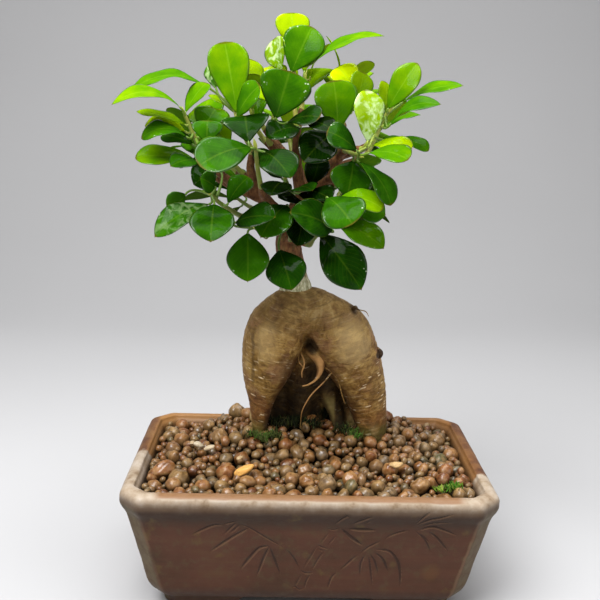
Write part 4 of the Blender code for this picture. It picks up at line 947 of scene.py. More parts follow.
def heap_pellets():
    """Pellets dropped one by one, each into the lowest place of a few that are tried, and then
    small ones into what is left open."""
    rnd = random.Random(PELLET_SEED)
    heap = np.zeros((0, 4))
    misses = 0
    small = 0
    reach_x, reach_y = DROP_REACH
    least, most = PELLET_LIMITS
    while misses < MISSES_BEFORE_SMALL or small < SMALL_COUNT:
        filling = misses >= MISSES_BEFORE_SMALL
        small += filling
        radius = min(most, max(least, rnd.gauss(PELLET_RADIUS, PELLET_SPREAD)))
        if filling:
            radius = rnd.uniform(*SMALL_LIMITS)
        best = None
        for _ in range(PLACES_TRIED):
            x = rnd.uniform(-reach_x, reach_x)
            y = rnd.uniform(-reach_y, reach_y)
            if wall_room(x, y, WALL_LEVEL) < radius + 0.1:
                continue
            rest = PELLET_FLOOR + radius
            if len(heap):
                gap = (heap[:, 0] - x) ** 2 + (heap[:, 1] - y) ** 2
                touch = (heap[:, 3] + radius) ** 2 * CLOSENESS
                near = gap < touch
                if near.any():
                    rest = max(rest, float((heap[near, 2] + np.sqrt(touch[near] - gap[near])).max()))
            if leg_room(x, y, min(rest, 100)) < radius * 0.7:
                continue
            level = rest + radius - heap_height(x, y)
            if best is None or level < best[0]:
                best = (level, x, y, rest)
        if best is None or best[0] > (0.8 if filling else 0.0):
            misses += 1
            continue
        heap = np.vstack([heap, [best[1], best[2], best[3], radius]])
    return heap


def ball(level):
    """Points and faces of a round ball of radius 1."""
    build = bmesh.new()
    bmesh.ops.create_icosphere(build, subdivisions=level, radius=1.0)
    points = np.array([v.co[:] for v in build.verts])
    faces = [tuple(v.index for v in face.verts) for face in build.faces]
    build.free()
    return points, faces


def add_pellet(skin, shape, centre, radius, tone, rnd, stretch=1.0):
    """A fired clay pellet: a ball that is a little lumpy and out of round."""
    points, faces = shape
    turn = Quaternion([rnd.gauss(0, 1) for _ in range(4)]).normalized()
    if stretch > 1.01:
        turn = Quaternion((0.95, 0.1, -0.24, 0.1)).normalized()
    long = rnd.choice((1.0, 1.05, 1.12, 1.28)) if radius < 5.0 else 1.0
    scale = np.array([rnd.uniform(0.96, 1.06) * stretch * long, rnd.uniform(0.9, 1.04) / long ** 0.4,
                      rnd.uniform(0.82, 1.0)])
    # Six are drawn and three used, which keeps the draws that follow as they are
    phase = [rnd.uniform(0, 6.28) for _ in range(6)]
    lump = (1 + 0.05 * np.sin(points @ np.array([2.1, 1.3, 2.6]) * 1.6 + phase[0])
            + 0.035 * np.sin(points @ np.array([-1.7, 2.9, 1.1]) * 2.3 + phase[1])
            + 0.02 * np.sin(points @ np.array([3.1, -2.2, 2.4]) * 2.9 + phase[2]))
    placed = ((points * lump[:, None] * scale) @ np.array(turn.to_matrix()).T) * radius
    placed = placed + np.array(centre)
    # How far a pellet lies below the heap's surface, for the painted shade deep in the heap
    deep = np.clip((heap_height(centre[0], centre[1]) - 2.0 - placed[:, 2]) / 9.0, 0, 1)
    skin.add(placed, faces, tone=tone, seed=rnd.random(), deep=deep)


def make_pellets(finish):
    """The heap, cleared where the set pellets go, with coarser balls where less of them shows."""
    rnd = random.Random(PELLET_SEED + 1)
    heap = heap_pellets()
    fine, coarse, rough = ball(4), ball(3), ball(2)
    for x, y, radius, stretch, _ in SET_PELLETS:
        gap = np.hypot((heap[:, 0] - x) / stretch, heap[:, 1] - y)
        clear = gap > (radius + heap[:, 3]) * SET_CLEARANCE
        heap = heap[clear | (heap[:, 2] < heap_height(x, y) - radius * 1.7)]
    top, under = Skin("tone", "seed", "deep"), Skin("tone", "seed", "deep")
    for x, y, z, radius in heap:
        tone = rnd.random()
        depth = heap_height(x, y) - z - radius
        if depth < 4.0 and y < 30 and radius > 2.7:
            add_pellet(top, coarse, (x, y, z), radius, tone, rnd)
        else:
            add_pellet(under, ball(1) if depth > 9 else rough, (x, y, z), radius, tone, rnd)
    for x, y, radius, stretch, tone in SET_PELLETS:
        add_pellet(top, fine, (x, y, heap_height(x, y) - radius + 0.8), radius, tone, rnd, stretch)
    for name, skin in (("pellets_top", top), ("pellets_under", under)):
        declare(piece(name, skin, finish), "gravel", "gravel")


def pellet_finish():
    f = Finish("fired_clay")
    f.set(specular_ior_level=0.45, coat_roughness=0.17)
    tone, seed = f.mark("tone"), f.mark("seed")
    base = f.ramp(tone, (0.0, "744120"), (0.12, "885226"), (0.30, "926333"),
                  (0.46, "8b6238"), (0.62, "7d6038"), (0.76, "8c6e42"),
                  (0.9, "776044"), (1.0, "5e5933"))
    at = f.drifted(seed, (90, 37, 61))
    cloud = f.noise(4.2, 4, 0.6, at=at)
    speck = f.noise(0.8, 2, 0.6, at=at)
    colour = f.mix(f.step(cloud, 0.44, 0.7) * 0.65, base, "b08b5a")
    colour = f.mix(f.step(cloud, 0.5, 0.3) * 0.6, colour, "452a13")
    colour = f.mix(f.step(speck, 0.62, 0.75) * 0.4, colour, "a08562")
    # Painted shade: pellets lying deeper in the heap are darkened
    colour = f.mix(f.mark("deep") * 0.92, colour, "120a05")
    f.set(base_color=colour)
    f.set(roughness=f.spread(cloud, 0.3, 0.7, 0.28, 0.52))
    f.set(coat_weight=f.spread(cloud, 0.35, 0.65, 0.5, 0.1))
    f.set(normal=f.bump(cloud * 0.6 + speck * 0.4, 0.35, 0.5))
    return f


def chip_finish():
    f = Finish("stone_chip")
    f.set(specular_ior_level=0.5)
    share = f.mark("tone")
    colour = f.ramp(share, (0.0, "cdbfa4"), (0.4, "c9a876"), (1.0, "e6ad5a"))
    cloud = f.noise(2.2, 4, 0.6)
    f.set(base_color=f.mix(f.step(cloud, 0.45, 0.7) * 0.5, colour, "8d6f45"))
    f.set(roughness=f.spread(cloud, 0.3, 0.7, 0.35, 0.65), normal=f.bump(cloud, 0.4, 0.6))
    return f


def make_chips(finish):
    """Stone chips: balls that nine planes cut facets into."""
    rnd = random.Random(8)
    points, faces = ball(3)
    skin = Skin("tone")
    for x, y, size, share, long, turn, rise in CHIPS:
        facets = np.array([[rnd.gauss(0, 1) for _ in range(3)] for _ in range(9)])
        facets /= np.linalg.norm(facets, axis=1)[:, None]
        limit = 0.72 / np.maximum((points @ facets.T).max(axis=1), 0.72)
        scale = np.array([long, 0.8, 0.5]) * size
        turned = (Matrix.Rotation(math.radians(turn), 3, 'Z')
                  @ Matrix.Rotation(math.radians(-rise), 3, 'Y'))
        placed = (points * limit[:, None] * scale) @ np.array(turned).T
        skin.add(placed + np.array([x, y, heap_height(x, y) + 0.4]), faces, tone=share)
    declare(piece("stone_chips", skin, finish), "gravel")


def make_tufts(finish):
    """Moss at the feet of the root and a seedling by the right rim, blade by blade."""
    rnd = random.Random(21)
    skin = Skin("tone")
    for x, y, spread, count, height, tone in TUFTS:
        for _ in range(count):
            at_x = x + rnd.gauss(0, 0.5) * spread
            at_y = y + rnd.gauss(0, 0.5) * spread
            if wall_room(at_x, at_y, WALL_LEVEL) < 1.0:
                continue
            foot = Vector((at_x, at_y, heap_height(at_x, at_y) - 3.4))
            lean = Vector((rnd.gauss(0, 0.45), rnd.gauss(-0.2, 0.45), 1.0)).normalized()
            tall = height * rnd.uniform(0.6, 1.15) + 1.6
            bend = Vector((rnd.gauss(0, 0.5), rnd.gauss(0, 0.5), 0))
            line = [(*(foot + lean * tall * t + bend * t * t),
                     0.3 * (1 - t) ** 0.7 * (1 + 1.2 * t) + 0.05) for t in (0, 0.3, 0.6, 0.85, 1.0)]
            tube_skin(skin, line, 4, tone=min(1.0, max(0.0, tone + rnd.gauss(0, 0.12))))
    declare(piece("moss", skin, finish), "gravel")


def moss_finish():
    f = Finish("moss")
    f.set(specular_ior_level=0.2)
    cloud = f.noise(2.5, 3, 0.6)
    colour = f.ramp(f.mark("tone") + (cloud - 0.5) * 0.4, (0.0, "12160a"), (0.3, "272e12"),
                    (0.55, "5f6a34"), (0.8, "417f1b"), (1.0, "96ab42"))
    f.set(base_color=colour)
    f.set(roughness=f.spread(cloud, 0.3, 0.7, 0.6, 0.85), normal=f.bump(cloud, 0.3, 0.5))
    return f


def soil_finish():
    f = Finish("potting_soil")
    f.set(specular_ior_level=0.25)
    crumbs = f.noise(1.6, 5, 0.7)
    clods = f.cells(4.5)
    f.set(base_color=f.ramp(crumbs, (0.35, "1c120b"), (0.55, "342317"), (0.75, "5c452f")))
    f.set(roughness=f.spread(crumbs, 0.3, 0.7, 0.95, 0.75))
    f.set(normal=f.bump(crumbs + clods * 0.6, 1.6, 0.9))
    return f


# ---------------------------------------------------------------- root and trunk

def make_caudex(finish):
    """The swollen root: the same tapered limbs melted finer, with its hook and rootlets."""
    skin = Skin()
    for leg in LEGS:
        tube_skin(skin, smooth_path(leg, 4.0), 28)
    caudex = melt("caudex_skin", skin, 1.15, 22)
    points = read_points(caudex.data)
    share = np.clip((points[:, 2] - ROOT_DEEPEN_Z) / (ROOT_CROWN_Z - ROOT_DEEPEN_Z), 0, 1)
    points[:, 1] = ROOT_MIDDLE_Y + (points[:, 1] - ROOT_MIDDLE_Y) * (1 + ROOT_DEEPEN * share)
    write_points(caudex.data, points)
    normals = read_normals(caudex.data)
    swell = np.zeros(len(points))
    for i, p in enumerate(points):
        broad = noise.noise((p[0] * 0.05, p[1] * 0.05, p[2] * 0.03))
        ripple = noise.noise((p[0] * 0.09, p[1] * 0.09, p[2] * 0.42 + 9))
        grain = noise.noise((p[0] * 0.35, p[1] * 0.35, p[2] * 0.9 + 40))
        swell[i] = broad * 0.7 + ripple * 0.34 + grain * 0.16 - 0.25
    for height, centre, reach in SWELLINGS:
        swell += height * round_bump(points, centre, reach)
    height, reach, start = GRAFT_SHOULDER
    from_graft = np.hypot(points[:, 0] - TRUNK[0][0], points[:, 1] - TRUNK[0][1])
    swell += height * np.clip(1 - (from_graft / reach) ** 2, 0, 1) * (points[:, 2] > start)
    points += normals * swell[:, None]
    write_points(caudex.data, points)
    hook = Skin()
    tube_skin(hook, smooth_path(HOOKED_ROOT, 1.2), 14)
    join_solids(caudex, piece("hook", hook), 'UNION')
    fine = Skin()
    for path in ROOTLETS:
        tube_skin(fine, smooth_path(path, 0.9), 7)
    declare(piece("rootlets", fine, finish), "caudex")
    coat(caudex, finish)
    declare(caudex, "caudex", "caudex")


def bark_finish():
    f = Finish("root_bark")
    f.set(specular_ior_level=0.3)
    slant = f.z - abs(f.x) * 0.32
    around = f.node("ShaderNodeCombineXYZ", None, {0: f.x, 1: f.y, 2: slant})
    broad = f.noise(21, 4, 0.55)
    cloud = f.noise(6.5, 5, 0.64, at=f.stretched(around, (1, 1, 0.8)), bend=0.6)
    rings = f.noise(2.3, 4, 0.65, at=f.stretched(around, (0.16, 0.16, 1.25)), bend=0.5)
    grain = f.noise(0.7, 3, 0.6)
    colour = f.ramp(cloud * 0.65 + broad * 0.35, (0.33, "4d3417"), (0.42, "785527"),
                    (0.50, "9a773d"), (0.58, "b69353"), (0.70, "d2b479"))
    flank = f.step(f.x + (broad - 0.5) * 26, -22, -34) * f.step(f.z, 118, 134)
    colour = f.mix(flank * 0.5, colour, "7a5b1e")
    mauve = f.step(f.noise(17, 3, 0.6, at=f.shifted(f.place, (60, 11, 5))), 0.5, 0.64)
    colour = f.mix(mauve * 0.5, colour, "91684c")
    low = f.step(f.z + (broad - 0.5) * 30, 128, 96)
    colour = f.mix(low * 0.65, colour, f.ramp(cloud, (0.35, "542f0c"), (0.5, "7e4f20"),
                                              (0.66, "a9783e")))
    lines = f.step(rings, 0.54, 0.64)
    colour = f.mix(lines * 0.45, colour, "452e14")
    colour = f.mix(f.step(rings, 0.44, 0.35) * 0.35, colour, "d0b585")
    speck = f.step(f.noise(1.0, 3, 0.6, at=f.stretched(around, (0.6, 0.6, 1.1))), 0.56, 0.68)
    colour = f.mix(speck * 0.5, colour, "38240f")
    smear = f.step(f.noise(9, 4, 0.65, at=f.shifted(f.place, (40, 3, 90))), 0.52, 0.64)
    colour = f.mix(smear * 0.4, colour, "5a3f1c")
    # Painted highlight on the middle of the right thigh
    highlight_x = abs(f.x - 29 + (broad - 0.5) * 14) * 0.07
    highlight_z = abs(f.z - 158 + (cloud - 0.5) * 16) * 0.050
    right_thigh_highlight = f.step(squares(highlight_x, highlight_z), 1.1, 0.1) * f.step(f.y, 30, 12)
    colour = f.mix(right_thigh_highlight * 0.4, colour, "e6c88c")
    # Painted highlight on the left thigh
    left_x = (f.x + 27 + (broad - 0.5) * 12) * 0.10
    left_z = (f.z - 158 + (cloud - 0.5) * 14) * 0.06
    left_thigh_highlight = f.step(squares(left_x, left_z), 1.1, 0.1) * f.step(f.y, 30, 12)
    colour = f.mix(left_thigh_highlight * 0.26, colour, "e6c88c")
    # Painted light: the hooked root, which lies in shade, is made paler
    hook_light = f.step(abs(f.x - 3.5), 9.5, 7.0) * f.step(f.z, 150, 143) * f.step(f.y, 22.5, 19)
    colour = f.mix(hook_light * 0.65, colour, "d9a265")
    crown = f.step(f.z + (broad - 0.5) * 20, 160, 176)
    colour = f.mix(crown * 0.35, colour, "68502a")
    cells = f.cells(1.0, at=f.stretched(around, (0.10, 0.10, 0.40)))
    worn = f.step(f.noise(9, 2, 0.5, at=f.shifted(f.place, (9, 80, 2))), 0.42, 0.52)
    dashes = f.step(cells, 0.25, 0.16) * worn * f.step(f.z, 152, 134)
    colour = f.mix(dashes * 0.9, colour, "f0d8ae")
    foot = f.step(f.z + (cloud - 0.5) * 10, 100, 91)
    colour = f.mix(foot * 0.7, colour, f.ramp(broad, (0.4, "5c5a26"), (0.5, "a08a5a"),
                                               (0.62, "c0ab7c")))
    pale_root = f.step(abs(f.x - 17), 6, 3.5) * f.step(f.z, 118, 106) * f.step(f.y, 48, 42)
    colour = f.mix(pale_root * 0.66, colour, "a3985c")
    nub_shoulder = f.step(squares(f.x - 31.5, f.z - 179.5) + cloud * 12, 24, 8)
    nubs = nub_shoulder * 0.8 + f.step(squares(f.x - 50, f.z - 148), 13, 8)
    colour = f.mix(nubs * f.step(f.y, 26, 20) * 0.85, colour, "1c0f07")
    # Painted shade in the crotch where the legs part, round the hooked root
    apex = squares((f.x - 3.5) * 0.19, (f.z - 153) * 0.15) + (cloud - 0.5) * 0.6
    apex = f.step(apex, 1.2, 0.3) * f.step(f.y, 6, 9) * f.step(f.y, 38, 29)
    colour = f.mix(apex * 0.85, colour, "170d06")
    # Painted shade along the crease down the front of the left leg
    crease_shade = f.step(abs(f.x + 35.5 + (cloud - 0.5) * 5), 1.7, 0.2) * f.step(abs(f.z - 146), 26, 12)
    colour = f.mix(crease_shade * f.step(f.y, 30, 18) * 0.6, colour, "3f2a10")
    normal = f.node("ShaderNodeTexCoord", output="Normal")
    turned_x, turned_y = (f.node("ShaderNodeSeparateXYZ", None, {0: normal}, i) for i in (0, 1))
    half = f.step(f.x, -6, 8) * 2 - 1
    # Painted shade on the sides of the legs that face each other
    inner_side_shade = f.step(0 - turned_x * half, 0.2, 0.8) * f.step(f.z + (cloud - 0.5) * 16, 156, 138)
    colour = f.mix(inner_side_shade * f.step(abs(f.x), 40, 34) * 0.72, colour, "3b2010")
    # Painted shade in the hollow between the legs, on the front-facing sides of the legs behind
    cleft_shade = f.step(0 - turned_y, -0.1, 0.45) * f.step(f.y, 26, 34)
    cleft_shade = cleft_shade * f.step(f.z + (cloud - 0.5) * 10, 158, 146)
    cleft_shade = cleft_shade * f.step(abs(f.x - 1), 33, 27) * (1 - pale_root * 0.8)
    colour = f.mix(cleft_shade * 0.9, colour, f.ramp(cloud, (0.4, "130e08"), (0.62, "3a2c14")))
    f.set(base_color=colour)
    f.set(roughness=f.spread(cloud, 0.3, 0.7, 0.72, 0.46))
    height = cloud * 0.35 + rings * 0.55 + grain * 0.14 + dashes * 0.3
    f.set(normal=f.bump(height, 1.5, 0.8))
    return f


def make_trunk(finish):
    """Grafted trunk and branches, melted into one skin."""
    skin = Skin()
    tube_skin(skin, smooth_path(GRAFT_SEAT + TRUNK, 2.0), 24)
    for path in BRANCHES.values():
        tube_skin(skin, smooth_path(path, 2.0), 14)
    trunk = melt("trunk_skin", skin, 0.8, 5)
    points = read_points(trunk.data)
    normals = read_normals(trunk.data)
    swell = np.zeros(len(points))
    for i, p in enumerate(points):
        swell[i] = (noise.noise((p[0] * 0.16, p[1] * 0.16, p[2] * 0.10)) * 0.45
                    + noise.noise((p[0] * 0.6, p[1] * 0.6, p[2] * 0.5)) * 0.16 + 0.12)
    points += normals * swell[:, None]
    write_points(trunk.data, points)
    coat(trunk, finish)
    declare(trunk, "trunk", "trunk")


def trunk_finish():
    f = Finish("graft_bark")
    f.set(specular_ior_level=0.3)
    cloud = f.noise(4, 4, 0.6)
    flake = f.noise(1.6, 4, 0.65, at=f.stretched(f.place, (1, 1, 0.45)))
    colour = f.ramp(flake * 0.6 + cloud * 0.4, (0.34, "3c230f"), (0.48, "664124"),
                    (0.6, "835830"), (0.74, "a68052"))
    pale = f.step(f.z + (cloud - 0.5) * 9, 207, 194)
    colour = f.mix(pale, colour, f.ramp(flake, (0.35, "7d7853"), (0.5, "b9b58f"),
                                        (0.66, "e2dfc2")))
    green = f.step(f.noise(6, 3, 0.6, at=f.shifted(f.place, (4, 50, 20))), 0.56, 0.68)
    colour = f.mix(green * 0.3, colour, "56602a")
    f.set(base_color=colour)
    f.set(roughness=f.spread(cloud, 0.3, 0.7, 0.85, 0.6), normal=f.bump(flake + cloud * 0.4, 0.8, 0.8))
    return f


# ---------------------------------------------------------------- leaves

def facing(base, tip, turn):
    """Direction of the upper face, turned about the midrib away from the front."""
    along = (tip - base).normalized()
    view = (FRONT - along * FRONT.dot(along)).normalized()
    across = along.cross(view)
    upward = across.z if abs(across.z) > 0.35 else across.x
    if upward < 0:
        across = -across
    angle = math.radians(turn)
    return view * math.cos(angle) + across * math.sin(angle)


def usual_form(youth_and_shade):
    """0 for a young leaf with a round end, 1 for an old one that ends in a short point."""
    return min(1.0, max(0.0, (0.34 - youth_and_shade) / 0.1))


def placed_leaves(rows):
    """Leaves of a shoot seen from the front, from their rows."""
    leaves = []
    for base, tip, width, turn, arch, youth_and_shade, form, wet in rows:
        base, tip = Vector(base), Vector(tip)
        leaves.append((base, tip, width, facing(base, tip, turn), arch, youth_and_shade, form, wet))
    return leaves


def along_path(path, share):
    """A point and a direction on a path, at a share of its length."""
    points = [Vector(p[:3]) for p in path]
    lengths = [(b - a).length for a, b in zip(points, points[1:])]
    left = share * sum(lengths)
    for a, b, length in zip(points, points[1:], lengths):
        if left <= length:
            return a.lerp(b, left / length), (b - a).normalized()
        left -= length
    return points[-1], (points[-1] - points[-2]).normalized()


def ruled_leaves(path, count, length, seed):
    """Leaves set round a stem by the golden angle, opening outward."""
    rnd = random.Random(seed)
    leaves = []
    start = rnd.uniform(0, 360)
    for i in range(count):
        share = 0.30 + 0.70 * (i + 0.5) / count
        node, along = along_path(path, share)
        outward = (node - CROWN_CENTRE).normalized()
        side = along.orthogonal().normalized()
        around = math.radians(start + 137.5 * i)
        ring = side * math.cos(around) + along.cross(side) * math.sin(around)
        lean = 0.35 + 0.75 * share
        way = (ring + along * lean + outward * 0.7 + UP * 0.15).normalized()
        base = node + way * rnd.uniform(6.0, 9.0)
        size = length * rnd.uniform(0.82, 1.12)
        droop = UP * rnd.uniform(-0.35, 0.05)
        tip = base + (way + droop).normalized() * size
        face = UP + outward * 0.5 + FRONT * 0.15
        axis = (tip - base).normalized()
        face = (face - axis * face.dot(axis)).normalized()
        width = size * rnd.uniform(0.66, 0.78)
        arch = rnd.uniform(0.06, 0.14)
        # Painted shade: leaves near the crown centre are given a darker tone
        shade = max(0.0, 1 - (tip - CROWN_CENTRE).length / 62) * 0.5
        youth_and_shade = min(0.8, max(0.0, (tip.z - 235) / 150 + 0.12 * math.sin(seed + 2.4 * i) - shade))
        leaves.append((base, tip, width, face, arch, youth_and_shade, usual_form(youth_and_shade), 0.0))
    return leaves


def nearest_on_path(path, target):
    """The point of a stem that a leaf stalk grows from."""
    points = []
    for a, b in zip(path, path[1:]):
        share = (target - a).dot(b - a) / (b - a).length_squared
        points.append(a.lerp(b, min(0.96, max(0.04, share))))
    return min(points, key=lambda point: (point - target).length)


def half_width(share, form):
    """Half width of a leaf, as a share of its widest, from a round-ended to a pointed form."""
    rounded = share ** 0.9 * math.sqrt(max(0.0, 1 - share ** 3.2)) / 0.592
    pointed = max(0.0, math.sin(math.pi * min(1.0, share / 0.985) ** 1.3)) ** 0.7
    pointed = max(pointed, 0.17 * (1 - share) / 0.1 if share > 0.9 else 0.0)
    return max(0.012, rounded + (pointed - rounded) * form)


def add_leaf(skin, leaf, rnd, fold):
    """A blade of two faces that meet at the rim, folded along its midrib and a little wavy."""
    base, tip, width, face, arch, youth_and_shade, form, wet = leaf
    axis = tip - base
    length = axis.length
    along = axis.normalized()
    side = along.cross(face).normalized()
    twist = rnd.uniform(-0.16, 0.16)
    wave = rnd.uniform(0.010, 0.022) * length
    beat = rnd.uniform(1.3, 2.2)
    phase = rnd.uniform(0, 6.28)
    curl = rnd.uniform(-0.02, 0.05) * length
    seed = rnd.random()
    upper, lower, u, v = [], [], [], []
    for i in range(LEAF_STEPS + 1):
        share = 1 - (1 - i / LEAF_STEPS) ** 1.5
        centre = base + axis * share + face * (arch * length * 4 * share * (1 - share))
        centre = centre - face * curl * max(0.0, share - 0.6) ** 2 * 4
        spin = Quaternion(along, twist * (share - 0.5) * 2)
        reach_way = spin @ side
        face_way = spin @ face
        reach = width / 2 * half_width(share, form)
        for k in range(LEAF_ACROSS):
            across = 2 * k / (LEAF_ACROSS - 1) - 1
            across *= 1.35 - 0.35 * across * across
            edge = abs(across)
            lift = fold * reach * edge ** 1.4 - 0.05 * reach * edge ** 4
            turn = phase + beat * 2 * math.pi * share + (1.3 if across > 0 else 0)
            ripple = wave * edge * edge * math.sin(turn)
            lift += ripple * math.sin(math.pi * share)
            middle = math.exp(-(across * reach / 0.9) ** 2)
            point = centre + reach_way * (across * reach) + face_way * lift
            thick = 0.26 * (1 - edge ** 3) * min(1.0, 6 * share, 8 * (1 - share))
            upper.append(point + face_way * (thick - 0.16 * middle * min(1.0, thick * 4)))
            lower.append(point - face_way * (thick + 0.30 * middle * min(1.0, thick * 4)))
            u.append(share)
            v.append(across)
    rim = {i for i in range(len(upper)) if i % LEAF_ACROSS in (0, LEAF_ACROSS - 1)
           or i < LEAF_ACROSS or i >= LEAF_STEPS * LEAF_ACROSS}
    inner = [i for i in range(len(lower)) if i not in rim]
    order = {i: i for i in rim}
    order.update((i, len(upper) + place) for place, i in enumerate(inner))
    points = upper + [lower[i] for i in inner]
    faces = []
    for i in range(LEAF_STEPS):
        for k in range(LEAF_ACROSS - 1):
            a = i * LEAF_ACROSS + k
            b, c, d = a + 1, a + LEAF_ACROSS + 1, a + LEAF_ACROSS
            faces.append((a, d, c, b))
            faces.append((order[a], order[b], order[c], order[d]))
    u += [u[i] for i in inner]
    v += [v[i] for i in inner]
    under = [0.0] * len(upper) + [1.0] * len(inner)
    skin.add(points, faces, 0, u=u, v=v, under=under, tone=youth_and_shade, seed=seed, wet=wet)


def add_stalk(skin, leaf, path, rnd):
    """A leaf stalk that leaves the stem at a slant and runs into the midrib."""
    base, tip, _, face, arch, youth_and_shade = leaf[:6]
    foot = nearest_on_path(path, base)
    start_way = ((tip - base).normalized() + face * arch * 4).normalized()
    control = base - start_way * (base - foot).length * 0.45
    line = []
    for i in range(9):
        t = i / 8
        line.append((*bent(foot, control, base, t), 1.05 - 0.35 * min(1.0, 2.5 * t)))
    line.append((*(base + start_way * 1.2), 0.4))
    tube_skin(skin, line, 8, 1, tone=youth_and_shade, u=0.0, v=0.0, under=0.0, seed=rnd.random())


def add_bud(skin, point, way, size, rnd):
    """The pointed sheath at the end of a stem."""
    line = []
    bend = way.orthogonal().normalized() * rnd.uniform(-0.15, 0.15)
    for i in range(9):
        t = i / 8
        radius = size * 0.15 * (math.sin(math.pi * min(1, t * 0.75 + 0.28)) if t < 0.95 else 0.1)
        at = point + way * (size * t) + bend * (size * t * t)
        line.append((*at, max(0.08, radius)))
    tube_skin(skin, line, 8, 1, tone=0.9, u=0.0, v=0.0, under=0.0, seed=rnd.random())


def branch_end(branch):
    """The end of a branch and the direction it ends in."""
    before, end = (Vector(p[:3]) for p in BRANCHES[branch][-2:])
    return end, (end - before).normalized()


def shoot_stem(branch, further):
    """A shoot's centre line, in line with the branch end that it grows from."""
    end, along = branch_end(branch)
    return [end + along * GAP, end + along * 2.5] + [Vector(p) for p in further]


def make_shoot(name, branch, path, leaves, fold, finishes):
    """One leafy shoot: its stem, stalks, blades and end bud. Its points are kept inside the box of
    the solids, which moves eight points of the low back shoot and none of the others."""
    rnd = random.Random(sum(map(ord, name)))
    skin = Skin("u", "v", "under", "tone", "seed", "wet")
    count = len(path) - 1
    end, along = branch_end(branch)
    rooted = [end - along * 1.5] + path
    knots = [(*p, 1.9 - 0.8 * max(0, i - 1) / count) for i, p in enumerate(rooted)]
    height = sum(leaf[0].z for leaf in leaves) / len(leaves)
    stem_tone = min(0.9, max(0.1, (height - 235) / 90))
    tube_skin(skin, smooth_path(knots, 1.6), 10, 1, tone=stem_tone, u=1.0, v=0.0, under=0.0, seed=0.5)
    for leaf in leaves:
        add_stalk(skin, leaf, path, rnd)
        add_leaf(skin, leaf, rnd, fold)
    way = (path[-1] - path[-2]).normalized()
    add_bud(skin, path[-1] - way * 0.5, way, rnd.uniform(5.5, 8.0), rnd)
    low, high = (np.array(corner) / MM - np.array(CENTRING) for corner in cad_box)
    skin.points = np.clip(np.array(skin.points), low + LEAF_MARGIN, high - LEAF_MARGIN)
    declare(piece(name + "_leaves", skin, *finishes), "leaves", name)


def leaf_finish():
    f = Finish("leaf")
    f.set(specular_ior_level=0.0, coat_roughness=0.08)
    tone, u, v = f.mark("tone"), f.mark("u"), f.mark("v")
    seed, under, wet = f.mark("seed"), f.mark("under"), f.mark("wet")
    at = f.drifted(seed, (70, 43, 91))
    cloud = f.noise(9, 3, 0.5, at=at)
    fleck = f.noise(1.1, 3, 0.6, at=at)
    edge = abs(v)
    # The tone, darker toward the stalk end of each blade as painted shade
    age_and_shade = tone + (cloud - 0.5) * 0.3 + (u - 0.5) * 0.12
    colour = f.ramp(age_and_shade, (0.0, "071802"), (0.14, "153a04"), (0.30, "2f6304"),
                    (0.45, "4c8003"), (0.60, "739b02"), (0.75, "94b803"),
                    (0.88, "b0cf05"), (1.0, "d6f208"))
    beat = (u - edge * 0.42) * 11.0
    wave = f.node("ShaderNodeMath", {"operation": 'PINGPONG'}, {0: beat, 1: 0.5})
    veins = f.step(wave, 0.07, 0.0) * f.step(edge, 0.97, 0.75)
    midrib = f.step(edge, 0.07, 0.015) * f.spread(tone, 0.1, 0.7, 0.08, 0.36)
    rim = f.step(edge, 0.955, 0.995)
    pale = f.mix(0.45, colour, "a9cf3a")
    colour = f.mix(midrib + veins * 0.08 + rim * 0.55, colour, pale)
    colour = f.mix(f.step(fleck, 0.6, 0.8) * 0.1, colour, pale)
    # Painted glare: pale patches on the wet leaves
    glare_patches = f.step(f.noise(5.5, 4, 0.55, at=at, bend=0.8), 0.44, 0.64)
    colour = f.mix(glare_patches * wet, colour, "d3edab")
    # Painted glints: pale spots near the rims of the darker leaves
    rim_glints = f.step(f.cells(2.4, at=at), 0.26, 0.16) * f.step(edge, 0.66, 0.82) * f.step(u, 0.5, 0.75)
    rim_glints = rim_glints * f.step(tone, 0.5, 0.3) * f.step(cloud, 0.5, 0.58)
    colour = f.mix(rim_glints * 0.6, colour, "dfeccb")
    colour = f.mix(f.step(u, 0.955, 0.985) * 0.7, colour, "5a4a16")
    colour = f.mix(under * 0.5, colour, f.mix(0.4, colour, "6f8f38"))
    f.set(base_color=colour)
    f.set(roughness=f.spread(cloud + under * 0.8, 0.3, 1.3, 0.36, 0.62))
    lip = f.step(edge, 0.80, 1.0)
    wetness = lip * f.step(u, 0.3, 0.6) * 0.9 + wet * 0.4 + 0.06
    f.set(coat_weight=wetness * (1 - under))
    f.set(normal=f.bump(wave * 0.25 + cloud * 1.2 + fleck * 0.15 + lip * 1.5, 0.5, 0.55))
    return f


def stalk_finish():
    f = Finish("green_stalk")
    f.set(specular_ior_level=0.45)
    tone, brown = f.mark("tone"), f.mark("u")
    cloud = f.noise(3, 3, 0.6)
    colour = f.ramp(tone + (cloud - 0.5) * 0.3, (0.0, "4f6a22"), (0.4, "6f8f2c"),
                    (0.8, "a5b543"), (1.0, "c3c355"))
    colour = f.mix(brown * 0.45 * f.step(cloud, 0.35, 0.6), colour, "7b5a34")
    f.set(base_color=colour)
    f.set(roughness=f.spread(cloud, 0.3, 0.7, 0.38, 0.6), normal=f.bump(cloud, 0.3, 0.5))
    return f


# ---------------------------------------------------------------- studio

def floor_finish():
    f = Finish("studio_floor")
    f.set(specular_ior_level=0.2)
    soft = f.noise(600, 2, 0.5)
    f.set(base_color=f.ramp(soft, (0.3, (0.50, 0.50, 0.51, 1)), (0.7, (0.53, 0.53, 0.54, 1))),
          roughness=f.spread(soft, 0.3, 0.7, 0.7, 0.8))
    return f


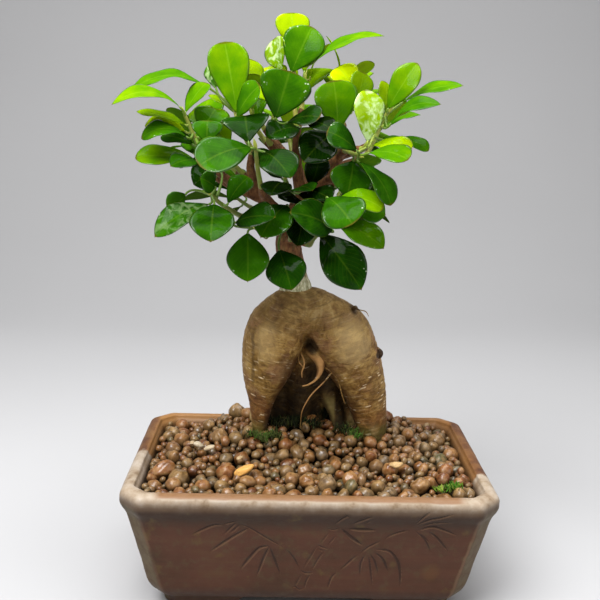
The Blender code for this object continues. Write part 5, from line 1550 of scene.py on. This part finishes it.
def make_studio(finish):
    """A plain floor that sweeps up behind the plant, three lamps and a soft sky."""
    line = [(SWEEP_FRONT, 0.0), (SWEEP_START, 0.0)]
    for i in range(1, SWEEP_STEPS + 1):
        angle = math.pi / 2 * i / SWEEP_STEPS
        line.append((SWEEP_START + SWEEP_RADIUS * math.sin(angle),
                     SWEEP_RADIUS - SWEEP_RADIUS * math.cos(angle)))
    line.append((SWEEP_START + SWEEP_RADIUS, SWEEP_TOP))
    points = [(x, y, z) for y, z in line for x in (-SWEEP_HALF_WIDTH, SWEEP_HALF_WIDTH)]
    faces = [(2 * i, 2 * i + 1, 2 * i + 3, 2 * i + 2) for i in range(len(line) - 1)]
    skin = Skin()
    skin.add(points, faces)
    floor = piece("studio_sweep", skin, finish)
    for name, place, target, size, watts in LAMPS:
        light = bpy.data.lights.new(name, 'AREA')
        light.shape = 'SQUARE'
        light.size = size * MM
        light.energy = watts
        lamp = bpy.data.objects.new(name, light)
        lamp.location = Vector(place) * MM
        way = Vector(target) - Vector(place)
        lamp.rotation_euler = way.to_track_quat('-Z', 'Y').to_euler()
        bpy.context.scene.collection.objects.link(lamp)
    world = bpy.data.worlds.new("studio")
    world.use_nodes = True
    sky = world.node_tree.nodes["Background"].inputs
    sky["Color"].default_value = SKY_COLOUR
    sky["Strength"].default_value = SKY_STRENGTH
    bpy.context.scene.world = world
    bpy.context.scene.view_settings.view_transform = 'Standard'


def make_camera():
    camera = bpy.data.cameras.new("camera")
    camera.lens = LENS
    camera.sensor_width = 36.0
    holder = bpy.data.objects.new("camera", camera)
    turn = (Matrix.Rotation(math.radians(CAMERA_YAW), 4, 'Z')
            @ Matrix.Rotation(math.radians(90.0 - CAMERA_PITCH), 4, 'X')
            @ Matrix.Rotation(math.radians(CAMERA_ROLL), 4, 'Z'))
    holder.matrix_world = Matrix.Translation((Vector(CAMERA_PLACE) + CENTRING) * MM) @ turn
    bpy.context.scene.collection.objects.link(holder)
    bpy.context.scene.camera = holder


def main():
    make_camera()
    make_studio(floor_finish())
    make_pot(pot_finish())
    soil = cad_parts["soil"]
    soil.material_slots[0].material = soil_finish().material
    make_pellets(pellet_finish())
    make_chips(chip_finish())
    make_tufts(moss_finish())
    make_caudex(bark_finish())
    make_trunk(trunk_finish())
    finishes = (leaf_finish(), stalk_finish())
    for name, (branch, further, rows) in SHOOTS.items():
        path = shoot_stem(branch, further)
        make_shoot(name, branch, path, placed_leaves(rows), PLACED_FOLD, finishes)
    for name, (branch, further, count, length, seed) in RULED_SHOOTS.items():
        path = shoot_stem(branch, further)
        make_shoot(name, branch, path, ruled_leaves(path, count, length, seed), RULED_FOLD, finishes)


main()
